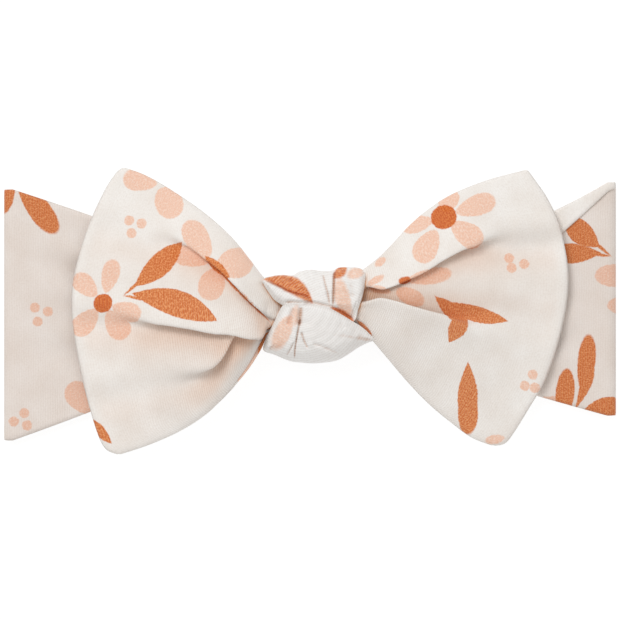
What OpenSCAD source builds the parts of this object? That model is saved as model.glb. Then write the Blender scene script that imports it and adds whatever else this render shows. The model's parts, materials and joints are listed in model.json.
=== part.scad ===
// Knotted headband for a baby, lying flat with the bow up.
// The ring is a two-ply knit band, pressed flat: its back lies on the table and its front on top of it.
// The band's two ends are tied in one half knot, and their tails spread out as the bow's two ears.
// X runs along the flattened ring, Y across the band, and Z up from the table through the bow.

/* [Ring] */
// Width of the flattened ring, from fold to fold
ring_w = 160; // [133:1:192]
// Height of the band at its left fold
left_fold_h = 65.2; // [54:0.2:72]
// Height of the band at its right fold
right_fold_h = 60.4; // [50:0.2:68]
// Height of the band where it is gathered, at the knot and at the casing
gather_h = 19; // [15:0.5:22]
// How far the left fold's middle lies below the ring's middle line
left_fold_drop = 1.3; // [0:0.1:3]
// How far the right fold's middle lies above the ring's middle line
right_fold_rise = 2.8; // [0:0.1:4]
// Width of the strip that is turned over along the right front edge
turned_w = 6; // [4:0.5:7]

/* [Cloth] */
// Thickness of one ply of knit
ply = 0.6; // [0.5:0.02:0.72]
// Air between the band's two plies
ply_gap = 0.2; // [0.1:0.05:0.3]
// Air between the front and the back of the flattened ring
layer_gap = 1.8; // [1.6:0.1:2.4]
// Width of the seam allowance turned in round an ear
seam_w = 5; // [4:0.5:7]

/* [Casing] */
// Length of the gathered casing at the centre back, between its two joints
casing_l = 28; // [23:0.5:34]
// Height of the casing
casing_h = 21; // [17.5:0.1:25.4]
// Thickness of the elastic in the casing
elastic_t = 1.0; // [0.8:0.1:1.2]

/* [Bow] */
// Height of the bow, from the ears' top corners to their bottom ones
bow_h = 74.6; // [62:0.2:80]
// Length of the left ear, from where its pleats meet to its end
left_ear_l = 53; // [45:0.5:60]
// Length of the right ear, from where its pleats meet to its end
right_ear_l = 53.5; // [45:0.5:60]
// Thickness of an ear at its sewn end
ear_edge_t = 2.8; // [2.6:0.1:3.6]
// Radius of an ear's gathered root
ear_root_r = 4; // [3.3:0.1:4.8]

/* [Knot] */
// Length of the knot along the ring
knot_l = 29; // [24:0.2:35]
// Height of the knot across the ring
knot_h = 25; // [21:0.5:30]
// Thickness of the knot
knot_t = 16.4; // [13.6:0.1:19.8]
// Angle of the line where the two wraps meet
knot_slant = 22; // [10:1:30]

/* [Hidden] */

LEFT = -1;
RIGHT = 1;

CREAM = [0.95, 0.92, 0.89];
LINING = [0.93, 0.90, 0.87];
THREAD = [0.97, 0.95, 0.93];
ELASTIC = [0.96, 0.96, 0.95];

// Heights of the two layers of the flattened ring
panel_t = 2 * ply + ply_gap;
front_z = panel_t + layer_gap;
front_top = front_z + panel_t;

// Points along a panel's long edge, and how soon the edges close in: the right one's upper edge does first
edge_steps = 16;
edge_early = 0.28;
right_top_early = 0.48;

// Side folds: half tubes whose outer radius is half the height of both layers
fold_r = front_top / 2;
fold_x = ring_w / 2 - fold_r;
fold_clearance = 0.3;

// The turned strip is narrow at the fold and widens towards the bow
turned_start = 0.45;
turned_growth = 0.2;

// Joints at the casing and at the knot, one above the other
hinge_x = casing_l / 2;
hinge_gap = 0.6;

// Casing and its stitches
casing_gap = 0.1;
casing_t = elastic_t + 2 * (ply + casing_gap);
thread_r = 0.16;
touch_gap = 0.04;
stitch_pitch = 1.6;
stitch_l = 1.8;
stitch_inset = 0.2;
tack_count = 5;
tack_pitch = 3;
tack_l = 3;

// Knot
knot_x = 2.4;
knot_y = -1.4;
knot_gap = 0.2;
knot_z = front_top + knot_gap + knot_t / 2;
knot_end_share = 0.78;
knot_crown_share = 0.4;
wrap_clearance = 0.3;
wrap_side_wall = 1.2;
wrap_face_wall = 2;
core_h = knot_h * knot_end_share - 2 * (wrap_side_wall + wrap_clearance);
core_t = knot_t * knot_end_share - 2 * (wrap_face_wall + wrap_clearance);

// Ears
ear_gap = 0.6;
ear_base = front_top + panel_t + ear_gap;
left_apex = [-9.1, -1.3];
right_apex = [13.6, 1.3];
ear_root_gap = 0.4;
ear_hinge_out = knot_l / 2 + ear_root_r + ear_root_gap;
ear_root_l = 30;
neck_clearance = 0.3;
neck_split = 0.2;
seam_slack = 0.1;
rim_w = 2;
layer_split = 0.05;
big = 400;

function side_of(left_value, right_value, side) = side == LEFT ? left_value : right_value;
function mix(a, b, share) = a + (b - a) * share;

// A point on a cubic curve with four control points
function cubic(p, t) =
    pow(1 - t, 3) * p[0] + 3 * pow(1 - t, 2) * t * p[1] + 3 * (1 - t) * t * t * p[2] + pow(t, 3) * p[3];

// One long edge of a band panel, a smooth curve from the fold to the gather.
// Early says how soon the edge closes in on the gather.
function band_edge(side, fold_y, gather_y, early) = [
    for (i = [0 : edge_steps])
        cubic([
            [side * fold_x, fold_y],
            [side * mix(fold_x, hinge_x, 0.35), mix(fold_y, gather_y, early)],
            [side * mix(fold_x, hinge_x, 0.72), mix(fold_y, gather_y, mix(early, 1, 0.42))],
            [side * hinge_x, gather_y]
        ], i / edge_steps)
];

function reversed(list) = [for (i = [len(list) - 1 : -1 : 0]) list[i]];
function fold_middle(side) = side_of(-left_fold_drop, right_fold_rise, side);
function fold_h(side) = side_of(left_fold_h, right_fold_h, side);
function fold_top(side) = fold_middle(side) + fold_h(side) / 2;
function fold_bottom(side) = fold_middle(side) - fold_h(side) / 2;
function top_edge(side) = 
    band_edge(side, fold_top(side), gather_h / 2, side_of(edge_early, right_top_early, side));
function bottom_edge(side) = band_edge(side, fold_bottom(side), -gather_h / 2, edge_early);

module band_outline(side) {
    polygon(concat(top_edge(side), reversed(bottom_edge(side))));
}

// A flat ply of one band panel, from x_in to x_out measured from the ring's middle
module flat_ply(side, z, x_in, x_out) {
    translate([0, 0, z])
        linear_extrude(height = ply)
            intersection() {
                band_outline(side);
                translate([side == LEFT ? -x_out : x_in, -big / 2]) square([x_out - x_in, big]);
            }
}

// The half tube that carries a ply round the side fold
module fold_tube(side, outer_r) {
    intersection() {
        translate([side * fold_x, fold_top(side), fold_r])
            rotate([90, 0, 0])
                difference() {
                    cylinder(r = outer_r, h = fold_h(side), $fn = 48);
                    translate([0, 0, -1]) cylinder(r = outer_r - ply, h = fold_h(side) + 2, $fn = 48);
                }
        translate([side == LEFT ? -big - fold_x : fold_x, -big / 2, -big / 2]) cube([big, big, big]);
    }
}

// Back panel plies run on round the side fold, and the front panel starts clear of it
module back_ply(side, is_lining) {
    z = is_lining ? ply + ply_gap : 0;
    color(is_lining ? LINING : CREAM)
        union() {
            flat_ply(side, z, hinge_x + hinge_gap, fold_x);
            fold_tube(side, fold_r - z);
        }
}

module front_ply(side, is_lining) {
    z = front_z + (is_lining ? 0 : ply + ply_gap);
    color(is_lining ? LINING : CREAM)
        flat_ply(side, z, hinge_x + hinge_gap, fold_x - fold_r - fold_clearance);
}

// The strip of the right front edge that is turned over onto the band's face
module turned_edge() {
    upper = top_edge(RIGHT);
    used = [for (i = [2 : edge_steps - 2]) upper[i]];
    drop = [for (i = [0 : len(used) - 1]) turned_w * min(1, turned_start + turned_growth * i)];
    color(CREAM)
        translate([0, 0, front_top + touch_gap])
            linear_extrude(height = panel_t)
                polygon(concat(used, reversed([for (i = [0 : len(used) - 1]) used[i] - [0, drop[i]]])));
}

// A flat bar with round sides, along X, standing on z = 0
module stadium_bar(length, height, thickness) {
    r = thickness / 2;
    union() {
        translate([-length / 2, -height / 2 + r, 0]) cube([length, height - thickness, thickness]);
        for (s = [-1, 1])
            translate([-length / 2, s * (height / 2 - r), r])
                rotate([0, 90, 0]) cylinder(r = r, h = length, $fn = 32);
    }
}

module back_casing() {
    wall = ply;
    length = 2 * (hinge_x - hinge_gap);
    color(CREAM)
        difference() {
            stadium_bar(length, casing_h, casing_t);
            translate([0, 0, wall]) stadium_bar(length + 2, casing_h - 2 * wall, casing_t - 2 * wall);
        }
}

module back_elastic() {
    length = 2 * (hinge_x - hinge_gap) - 1;
    height = casing_h - 2 * casing_t;
    color(ELASTIC)
        translate([-length / 2, -height / 2, ply + casing_gap]) cube([length, height, elastic_t]);
}

module thread_bar(length) {
    rotate([0, 90, 0]) cylinder(r = thread_r, h = length, center = true, $fn = 16);
}

// Short stitches across each end of the casing
module casing_stitches() {
    count = floor((casing_h - casing_t) / stitch_pitch);
    color(THREAD)
        for (side = [LEFT, RIGHT], i = [0 : count - 1])
            translate([
                side * (hinge_x - hinge_gap - stitch_l / 2 - stitch_inset),
                (i - (count - 1) / 2) * stitch_pitch,
                casing_t + touch_gap + thread_r
            ]) thread_bar(stitch_l);
}

// The band's end, gathered flat behind the knot
module band_gather(side) {
    length = hinge_x - hinge_gap - layer_split;
    color(CREAM)
        translate([side == LEFT ? -(hinge_x - hinge_gap) : layer_split, -gather_h / 2, front_z])
            cube([length, gather_h, panel_t]);
}

// Hand stitches that hold the two gathered ends together behind the knot
module knot_tack_stitches() {
    color(THREAD)
        for (i = [0 : tack_count - 1])
            translate([0, (i - (tack_count - 1) / 2) * tack_pitch, front_z - touch_gap - thread_r])
                thread_bar(tack_l);
}

module ellipse_slab(x, width, height, thickness) {
    translate([x - width / 2, 0, 0])
        rotate([90, 0, 90])
            linear_extrude(height = width)
                scale([height / thickness, 1]) circle(d = thickness, $fn = 32);
}

module knot_barrel() {
    hull() {
        ellipse_slab(0, knot_l * knot_crown_share, knot_h, knot_t);
        ellipse_slab(0, knot_l, knot_h * knot_end_share, knot_t * knot_end_share);
    }
}

// One of the two wraps of the half knot: the barrel round the necks, split along a slanting line
module knot_wrap(is_upper) {
    color(CREAM)
        translate([knot_x, knot_y, knot_z])
            difference() {
                knot_barrel();
                ellipse_slab(0, knot_l + 2, core_h + 2 * wrap_clearance, core_t + 2 * wrap_clearance);
                rotate([0, 0, -knot_slant])
                    translate([-big / 2, is_upper ? wrap_clearance / 2 - big : -wrap_clearance / 2, -big / 2])
                        cube([big, big, big]);
            }
}

// X of an ear's hinge, and the point where its pleats meet
function ear_hinge_x(side) = knot_x + side * ear_hinge_out;
function ear_apex(side) = side_of(left_apex, right_apex, side);

// The part of a strand that runs through the knot and ends just short of an ear's root
module ear_neck(side) {
    reach = knot_l / 2 + ear_root_gap - neck_clearance;
    color(CREAM)
        translate([knot_x + side * (reach + neck_split) / 2, knot_y, knot_z])
            ellipse_slab(0, reach - neck_split, core_h, core_t);
}

// A cylinder on an ear's hinge
module ear_root(side, r, length) {
    translate([ear_hinge_x(side), ear_apex(side)[1] + length / 2, 0])
        rotate([90, 0, 0]) cylinder(r = r, h = length, $fn = 32);
}

// An ear is drawn with its middle surface on z = 0, and this lowers its end onto the band
function ear_length(side) = side_of(left_ear_l, right_ear_l, side);
function ear_run(side) = ear_length(side) - abs(ear_hinge_x(side) - ear_apex(side)[0]);
function ear_tilt(side) = asin((knot_z - ear_base - ear_edge_t / 2) / ear_run(side));

module place_ear(side) {
    translate([ear_hinge_x(side), 0, knot_z])
        rotate([0, side * ear_tilt(side), 0])
            translate([-ear_hinge_x(side), 0, 0]) children();
}

// Arc round an ear's end whose corners reach the bow's height, drawn in by an inset
function ear_arc(side, inset, steps = 18) =
    let (
        apex = ear_apex(side),
        r = ear_length(side),
        up = asin((bow_h / 2 - apex[1]) / r),
        down = -asin((bow_h / 2 + apex[1]) / r),
        trim = inset / r * 180 / PI,
        q = r - inset
    )
    [for (i = [0 : steps])
        let (a = mix(down + trim, up - trim, i / steps))
        [apex[0] + side * q * cos(a), apex[1] + q * sin(a)]];

// Outer form of an ear, drawn in by an inset
module ear_form(side, inset) {
    arc = ear_arc(side, inset);
    inner = [for (p = arc) [p[0] - side * rim_w, p[1] * 0.97]];
    thickness = ear_edge_t - 2 * inset;
    hull() {
        ear_root(side, ear_root_r - inset, ear_root_l - 2 * inset);
        translate([0, 0, -thickness / 2])
            linear_extrude(height = thickness) polygon(concat(arc, reversed(inner)));
    }
}

// One ply of an ear: the half of its shell on one side of its middle surface
module ear_layer(side, is_front) {
    color(is_front ? CREAM : LINING)
        place_ear(side)
            intersection() {
                difference() {
                    ear_form(side, 0);
                    ear_form(side, ply);
                }
                translate([-big / 2, -big / 2, is_front ? layer_split : -big - layer_split])
                    cube([big, big, big]);
            }
}

// What a seam leaves open: the ear's outline again, narrower, through its whole thickness
module ear_seam_window(side) {
    arc = ear_arc(side, seam_w);
    root_x = ear_hinge_x(side) - side * ear_root_r;
    root_y = ear_root_l / 2 - seam_w;
    translate([0, 0, -big / 2])
        linear_extrude(height = big)
            polygon(concat(arc, [
                [root_x, ear_apex(side)[1] + root_y],
                [root_x, ear_apex(side)[1] - root_y]
            ]));
}

// The seam allowance turned in between an ear's plies, round its end and along its two sides
module ear_seam(side) {
    slack = ply + seam_slack;
    color(LINING)
        place_ear(side)
            intersection() {
                difference() {
                    ear_form(side, slack);
                    ear_seam_window(side);
                    ear_root(side, ear_root_r + neck_clearance, big);
                }
                translate([-big / 2, -big / 2, -ply]) cube([big, big, 2 * ply]);
            }
}

// The pleats gathered into an ear's root
module ear_gather(side) {
    slack = ply + seam_slack;
    color(CREAM) place_ear(side) ear_root(side, ear_root_r - slack, ear_root_l - 2 * slack);
}

back_casing();
back_elastic();
casing_stitches();
back_ply(LEFT, false);  // band_back_left_outer
back_ply(LEFT, true);  // band_back_left_lining
front_ply(LEFT, false);  // band_front_left_outer
front_ply(LEFT, true);  // band_front_left_lining
back_ply(RIGHT, false);  // band_back_right_outer
back_ply(RIGHT, true);  // band_back_right_lining
front_ply(RIGHT, false);  // band_front_right_outer
front_ply(RIGHT, true);  // band_front_right_lining
turned_edge();  // band_front_right_turned_edge
band_gather(LEFT);  // left_band_gather
band_gather(RIGHT);  // right_band_gather
knot_tack_stitches();
knot_wrap(true);  // knot_upper_wrap
knot_wrap(false);  // knot_lower_wrap
ear_neck(LEFT);  // left_ear_neck
ear_neck(RIGHT);  // right_ear_neck
ear_layer(LEFT, true);  // left_ear_front
ear_layer(LEFT, false);  // left_ear_back
ear_seam(LEFT);  // left_ear_seam
ear_gather(LEFT);  // left_ear_gather
ear_layer(RIGHT, true);  // right_ear_front
ear_layer(RIGHT, false);  // right_ear_back
ear_seam(RIGHT);  // right_ear_seam
ear_gather(RIGHT);  // right_ear_gather
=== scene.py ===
"""Knotted headband in printed jersey, lying flat with its bow up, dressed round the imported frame.

Every length below is in millimetres. X runs along the flattened ring, Y across the band and Z up.
Cloth is drawn on grids: the first direction runs out from the knot and the second runs across the strip.
"""

from __future__ import annotations

import json
import logging
import math
from dataclasses import dataclass, field, replace
from enum import Enum
from functools import reduce

import bpy
import numpy as np
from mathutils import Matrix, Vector


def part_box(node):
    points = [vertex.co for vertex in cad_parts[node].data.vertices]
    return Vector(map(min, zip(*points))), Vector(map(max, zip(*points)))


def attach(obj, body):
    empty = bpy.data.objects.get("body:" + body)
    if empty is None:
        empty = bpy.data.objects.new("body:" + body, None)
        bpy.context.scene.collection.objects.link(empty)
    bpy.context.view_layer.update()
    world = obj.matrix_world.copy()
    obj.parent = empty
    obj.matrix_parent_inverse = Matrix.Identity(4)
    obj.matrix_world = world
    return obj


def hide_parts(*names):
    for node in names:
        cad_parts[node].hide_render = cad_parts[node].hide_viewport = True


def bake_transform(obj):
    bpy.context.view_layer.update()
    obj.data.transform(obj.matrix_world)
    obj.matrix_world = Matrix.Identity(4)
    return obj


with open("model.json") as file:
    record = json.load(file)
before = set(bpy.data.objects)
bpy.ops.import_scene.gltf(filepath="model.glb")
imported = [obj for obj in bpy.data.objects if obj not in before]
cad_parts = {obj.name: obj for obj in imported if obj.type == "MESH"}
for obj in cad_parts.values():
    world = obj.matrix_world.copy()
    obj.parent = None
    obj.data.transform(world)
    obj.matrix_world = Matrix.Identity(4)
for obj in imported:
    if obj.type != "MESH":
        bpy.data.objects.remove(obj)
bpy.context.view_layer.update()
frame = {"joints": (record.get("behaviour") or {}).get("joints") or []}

MM = 0.001
PRINT_LAYER = "print"
KNIT_LAYER = "knit"
# This layer holds the share of painted fold shade, and how much the knit is stretched.
FOLD_SHADE_LAYER = "fold"

# One ply's thickness, and the widest cut of the strip that the band is made of.
PLY = 0.6
STRIP_WIDE = 80.0
# Samples between two points of a smooth line.
SPAN_SAMPLES = 24
# The random lattice's size, and where places start on it.
NOISE_CELLS = 64
NOISE_START = (31.37, 27.11)
# Brings a fold's S to 1 at its highest.
FOLD_GAIN = 2.332

Colour = tuple[float, float, float, float]
Point = tuple[float, float]

LOG = logging.getLogger("headband")


class Side(Enum):
    """The two sides of the headband, by the sign of X."""

    LEFT = -1
    RIGHT = 1

    @property
    def word(self) -> str:
        """The side's name, as the frame's nodes and bodies spell it."""
        return self.name.lower()


class Over(Enum):
    """Which side of a crease lies on top of the other."""

    UPPER = 1
    LOWER = -1


class MarkKind(Enum):
    """The printed shapes."""

    PETAL = "petal"
    LEAF = "leaf"
    BLADE = "blade"
    DOT = "dot"
    CENTRE = "centre"


# ---------------------------------------------------------------- shapes in numbers


def box_mm(node: str) -> tuple[np.ndarray, np.ndarray]:
    """Lowest and highest corner of a CAD node.

    Args:
        node: The node's name.

    Returns:
        Its two corners, in millimetres.
    """
    low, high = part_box(node)
    return np.array(low) / MM, np.array(high) / MM


def joint_x(name: str) -> float:
    """X of a joint's axis, in millimetres."""
    places = {joint["name"]: joint["pos_m"] for joint in frame["joints"]}
    return places[name][0] / MM


def smooth_step(x: np.ndarray | float) -> np.ndarray:
    """Eases from 0 to 1 as x goes from 0 to 1."""
    t = np.clip(x, 0.0, 1.0)
    return t * t * (3.0 - 2.0 * t)


def round_rise(x: np.ndarray) -> np.ndarray:
    """A quarter circle: 0 at x = 0 with an upright start, 1 from x = 1 on."""
    t = 1.0 - np.clip(x, 0.0, 1.0)
    return np.sqrt(np.clip(1.0 - t * t, 0.0, 1.0))


def squared(wave: np.ndarray, power: float) -> np.ndarray:
    """A sine or cosine pushed out towards a box's sides."""
    return np.sign(wave) * np.abs(wave) ** power


def unit_grid(out: int, across: int) -> tuple[np.ndarray, np.ndarray]:
    """Shares from 0 to 1 along each direction of a grid."""
    return (np.linspace(0, 1, out)[:, None] * np.ones((1, across)),
            np.ones((out, 1)) * np.linspace(0, 1, across)[None, :])


def smooth_line(points: list[tuple[float, ...]], count: int, closed: bool = False) -> np.ndarray:
    """Draws a smooth line through points, with its samples evenly spaced.

    Args:
        points: The points that it passes, in order.
        count: How many samples it gets.
        closed: Whether it joins up with its start.

    Returns:
        The samples, one row each.
    """
    p = np.array(points, float)
    if closed:
        p = np.vstack([p[-1], p, p[0], p[1]])
    else:
        p = np.vstack([2 * p[0] - p[1], p, 2 * p[-1] - p[-2]])
    pieces = []
    t = np.linspace(0.0, 1.0, SPAN_SAMPLES, endpoint=False)[:, None]
    for a, b, c, d in zip(p[:-3], p[1:-2], p[2:-1], p[3:]):
        pieces.append(0.5 * (2 * b + (c - a) * t + (2 * a - 5 * b + 4 * c - d) * t**2
                             + (3 * b - a - 3 * c + d) * t**3))
    dense = np.vstack(pieces + [p[-2:-1]])
    run = np.concatenate([[0.0], np.cumsum(np.linalg.norm(np.diff(dense, axis=0), axis=1))])
    wanted = np.linspace(0.0, run[-1], count, endpoint=not closed)
    return np.stack([np.interp(wanted, run, dense[:, k]) for k in range(p.shape[1])], axis=1)


def distance_to_line(x: np.ndarray, y: np.ndarray, line: np.ndarray) -> tuple[np.ndarray, np.ndarray]:
    """Distance from points to a line of short segments.

    Args:
        x: The points' X values.
        y: Their Y values.
        line: The line's own points, one row each.

    Returns:
        The distance, which is negative to the line's right, and how far along it the nearest point is.
    """
    shape = x.shape
    p = np.stack([x.ravel(), y.ravel()], axis=1)
    a, b = line[:-1], line[1:]
    ab = b - a
    length_2 = np.maximum((ab**2).sum(1), 1e-9)
    ap = p[:, None, :] - a[None]
    t = np.clip((ap * ab[None]).sum(2) / length_2, 0.0, 1.0)
    off = ap - t[..., None] * ab[None]
    d = np.linalg.norm(off, axis=2)
    k = d.argmin(1)
    rows = np.arange(len(p))
    turn = ab[k, 0] * ap[rows, k, 1] - ab[k, 1] * ap[rows, k, 0]
    signed = np.where(turn >= 0, 1.0, -1.0) * d[rows, k]
    along = (k + t[rows, k]) / len(a)
    return signed.reshape(shape), along.reshape(shape)


def soft_noise(x: np.ndarray, y: np.ndarray, pitch: float, seed: int) -> np.ndarray:
    """Smooth random hills and dips.

    Args:
        x: The places' X values.
        y: Their Y values.
        pitch: How far apart the hills are.
        seed: Which of many such surfaces it is.

    Returns:
        Values from -1 to 1.
    """
    lattice = np.random.default_rng(seed).uniform(-1.0, 1.0, (NOISE_CELLS, NOISE_CELLS))
    gx, gy = x / pitch + NOISE_START[0], y / pitch + NOISE_START[1]
    ix, iy = np.floor(gx).astype(int), np.floor(gy).astype(int)
    fx, fy = smooth_step(gx - ix), smooth_step(gy - iy)
    value = np.zeros_like(gx)
    for dx, dy in ((0, 0), (1, 0), (0, 1), (1, 1)):
        weight = (fx if dx else 1 - fx) * (fy if dy else 1 - fy)
        value = value + weight * lattice[(ix + dx) % NOISE_CELLS, (iy + dy) % NOISE_CELLS]
    return value


def blurred(values: np.ndarray, cells: tuple[int, int], wrap: bool = False) -> np.ndarray:
    """Averages a grid over a window, twice.

    Args:
        values: The grid.
        cells: Half the window's size along each direction.
        wrap: Whether the second direction closes on itself.

    Returns:
        The averaged grid.
    """
    for _ in range(2):
        for axis, half in enumerate(cells):
            pad = [(half, half) if k == axis else (0, 0) for k in (0, 1)]
            padded = np.pad(values, pad, mode="wrap" if wrap and axis else "edge")
            total = np.cumsum(np.insert(padded, 0, 0.0, axis=axis), axis=axis)
            size = 2 * half + 1
            values = (np.take(total, range(size, total.shape[axis]), axis=axis)
                      - np.take(total, range(0, total.shape[axis] - size), axis=axis)) / size
    return values


def fold_shape(xi: np.ndarray) -> np.ndarray:
    """The S of a fold: 1 just before its middle, -1 just after it, and 0 far off."""
    return -FOLD_GAIN * xi * np.exp(-xi * xi)


def valley_shape(xi: np.ndarray) -> np.ndarray:
    """A valley with a low bank on each side of it."""
    return np.exp(-xi * xi) - 0.45 * np.exp(-((np.abs(xi) - 1.9) / 0.9) ** 2)


# ---------------------------------------------------------------- meshes


def make_object(name: str, points: np.ndarray, faces: np.ndarray | list,
                layers: dict[str, np.ndarray]) -> bpy.types.Object:
    """Makes a mesh object.

    Args:
        name: The piece's name.
        points: Its points, in millimetres.
        faces: Its faces, as lists of point numbers.
        layers: Flat coordinates for each point, by layer name, in millimetres.

    Returns:
        The object, in the scene.
    """
    mesh = bpy.data.meshes.new(name)
    mesh.from_pydata((points * MM).tolist(), [], [list(map(int, f)) for f in faces])
    corners = np.zeros(len(mesh.loops), int)
    mesh.loops.foreach_get("vertex_index", corners)
    for layer, flat in layers.items():
        uv = mesh.uv_layers.new(name=layer)
        uv.data.foreach_set("uv", flat[corners].astype(np.float32).ravel())
    mesh.polygons.foreach_set("use_smooth", np.ones(len(mesh.polygons), bool))
    mesh.update()
    made = bpy.data.objects.new(name, mesh)
    bpy.context.scene.collection.objects.link(made)
    return made


@dataclass
class Cloth:
    """A ply of cloth on a grid.

    It keeps its places, its flat coordinates for the print and for the knit, how much it is stretched, how
    much painted shade it is given besides the painted shade of its own folds, and how far it is clear of its
    own edge.
    """

    points: np.ndarray
    print_at: np.ndarray
    knit_at: np.ndarray
    stretch: np.ndarray | float = 0.0
    shade: np.ndarray | float = 0.0
    clear: np.ndarray | float = 1.0
    # How the painted fold shade is drawn: the blur's reach, the depth that gives full shade, the share taken
    # off and the most it reaches.
    fold_reach: float = 2.4
    fold_depth: float = 2.0
    fold_least: float = 0.45
    fold_most: float = 0.4

    def normals(self) -> np.ndarray:
        """The surface's upright direction.

        Returns:
            Unit vectors, one for each grid point.
        """
        du = np.gradient(self.points, axis=0)
        dv = np.gradient(self.points, axis=1)
        n = np.cross(du, dv)
        return n / np.maximum(np.linalg.norm(n, axis=2, keepdims=True), 1e-9)

    def folds(self) -> np.ndarray:
        """How much painted shade each place gets, from how deep it lies in a fold.

        Returns:
            That painted shade from 0 to 1, beside how much the place is stretched.
        """
        cells = []
        for axis in (0, 1):
            step = np.linalg.norm(np.diff(self.points, axis=axis), axis=2).mean()
            cells.append(max(1, int(self.fold_reach / max(step, 1e-3) / 2)))
        z = self.points[..., 2]
        near = blurred(z, tuple(cells)) - z
        wide = blurred(z, (2 * cells[0], 2 * cells[1])) - z
        bent = np.clip((near + 0.5 * wide) / self.fold_depth - self.fold_least, 0.0, self.fold_most)
        # Painted shade: the folds' share, faded near the edge, plus the painted shade that was given.
        deep = np.clip(bent * self.clear + self.shade, 0.0, 1.0)
        return np.dstack([deep, np.ones_like(deep) * self.stretch])

    def piece(self, name: str, thickness: float) -> bpy.types.Object:
        """Gives the ply its thickness, as one closed mesh.

        Args:
            name: The piece's name.
            thickness: From face to face.

        Returns:
            The object.
        """
        nu, nv = self.points.shape[:2]
        lift = self.normals() * thickness / 2
        both = np.concatenate([(self.points + lift).reshape(-1, 3), (self.points - lift).reshape(-1, 3)])
        index = np.arange(nu * nv).reshape(nu, nv)
        a, b, c, d = index[:-1, :-1], index[1:, :-1], index[1:, 1:], index[:-1, 1:]
        upper = np.stack([a, b, c, d], axis=2).reshape(-1, 4)
        lower = upper[:, ::-1] + nu * nv
        rim = np.concatenate([index[:, 0], index[-1, 1:], index[-2::-1, -1], index[0, -2:0:-1]])
        after = np.roll(rim, -1)
        side = np.stack([after, rim, rim + nu * nv, after + nu * nv], axis=1)
        flat = {PRINT_LAYER: self.print_at, KNIT_LAYER: self.knit_at, FOLD_SHADE_LAYER: self.folds()}
        layers = {k: np.tile(v.reshape(-1, 2), (2, 1)) for k, v in flat.items()}
        return make_object(name, both, np.concatenate([upper, lower, side]), layers)


def tube_piece(name: str, paths: list[np.ndarray], radius: float, sides: int = 8,
               tip: float = 0.45) -> bpy.types.Object:
    """Sweeps round threads along paths, as one piece.

    Args:
        name: The piece's name.
        paths: The threads' centre lines, one array of points each.
        radius: The threads' radius.
        sides: How many sides each has.
        tip: The share of the radius that is left at a thread's ends.

    Returns:
        The object.
    """
    points, faces, start = [], [], 0
    ring = np.linspace(0, 2 * math.pi, sides, endpoint=False)
    for path in paths:
        along = np.gradient(path, axis=0)
        along /= np.linalg.norm(along, axis=1, keepdims=True)
        up = np.array([0.0, 0.0, 1.0])
        across = np.cross(along, up)
        across /= np.maximum(np.linalg.norm(across, axis=1, keepdims=True), 1e-6)
        other = np.cross(across, along)
        taper = np.ones(len(path))
        taper[[0, -1]] = tip
        for k, place in enumerate(path):
            r = radius * taper[k]
            points.append(place + r * (np.cos(ring)[:, None] * across[k] + np.sin(ring)[:, None] * other[k]))
        for k in range(len(path) - 1):
            for j in range(sides):
                n = (j + 1) % sides
                faces.append([start + k * sides + j, start + k * sides + n,
                              start + (k + 1) * sides + n, start + (k + 1) * sides + j])
        faces.append([start + j for j in reversed(range(sides))])
        faces.append([start + (len(path) - 1) * sides + j for j in range(sides)])
        start += len(path) * sides
    cloud = np.concatenate(points)
    return make_object(name, cloud, faces, {PRINT_LAYER: cloud[:, :2]})


def closed_tube(name: str, sections: list[np.ndarray], along_knit: bool) -> bpy.types.Object:
    """Joins closed sections into a tube with closed ends.

    Args:
        name: The piece's name.
        sections: Each section's points, all with as many points.
        along_knit: Whether the knit's ribs run along the tube and not round it.

    Returns:
        The object.
    """
    count, sides = len(sections), len(sections[0])
    points = np.concatenate(sections + [sections[0].mean(0)[None], sections[-1].mean(0)[None]])
    j = np.arange(sides)
    n = (j + 1) % sides
    faces: list = []
    for k in range(count - 1):
        a, b = k * sides + j, (k + 1) * sides + j
        faces += np.stack([a, a[n], b[n], b], axis=1).tolist()
    low, high = count * sides, count * sides + 1
    faces += [[low, int(q), int(p)] for p, q in zip(j, n)]
    faces += [[high, int((count - 1) * sides + p), int((count - 1) * sides + q)] for p, q in zip(j, n)]
    grid = np.array(sections)
    run = np.concatenate([[0], np.cumsum(np.linalg.norm(np.diff(grid.mean(1), axis=0), axis=1))])
    girth = np.linalg.norm(grid - np.roll(grid, 1, axis=1), axis=2).mean()
    first = np.repeat(run[:, None], sides, axis=1)
    second = np.repeat((j * girth)[None], count, axis=0)
    knit = np.dstack([second, first] if along_knit else [first, second]).reshape(-1, 2)
    knit = np.concatenate([knit, knit[:1], knit[-1:]])
    radius = np.linalg.norm(grid - grid.mean(1, keepdims=True), axis=2)
    # Painted shade in the tube's wrinkles.
    deep = np.clip((blurred(radius, (1, 5), True) - radius) / 0.5, 0, 1).reshape(-1)
    deep = np.concatenate([deep, [0.0, 0.0]])
    folds = np.stack([deep, np.full_like(deep, 0.5)], axis=1)
    return make_object(name, points, faces, {PRINT_LAYER: points[:, :2], KNIT_LAYER: knit, FOLD_SHADE_LAYER: folds})


# ---------------------------------------------------------------- shaders


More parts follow.
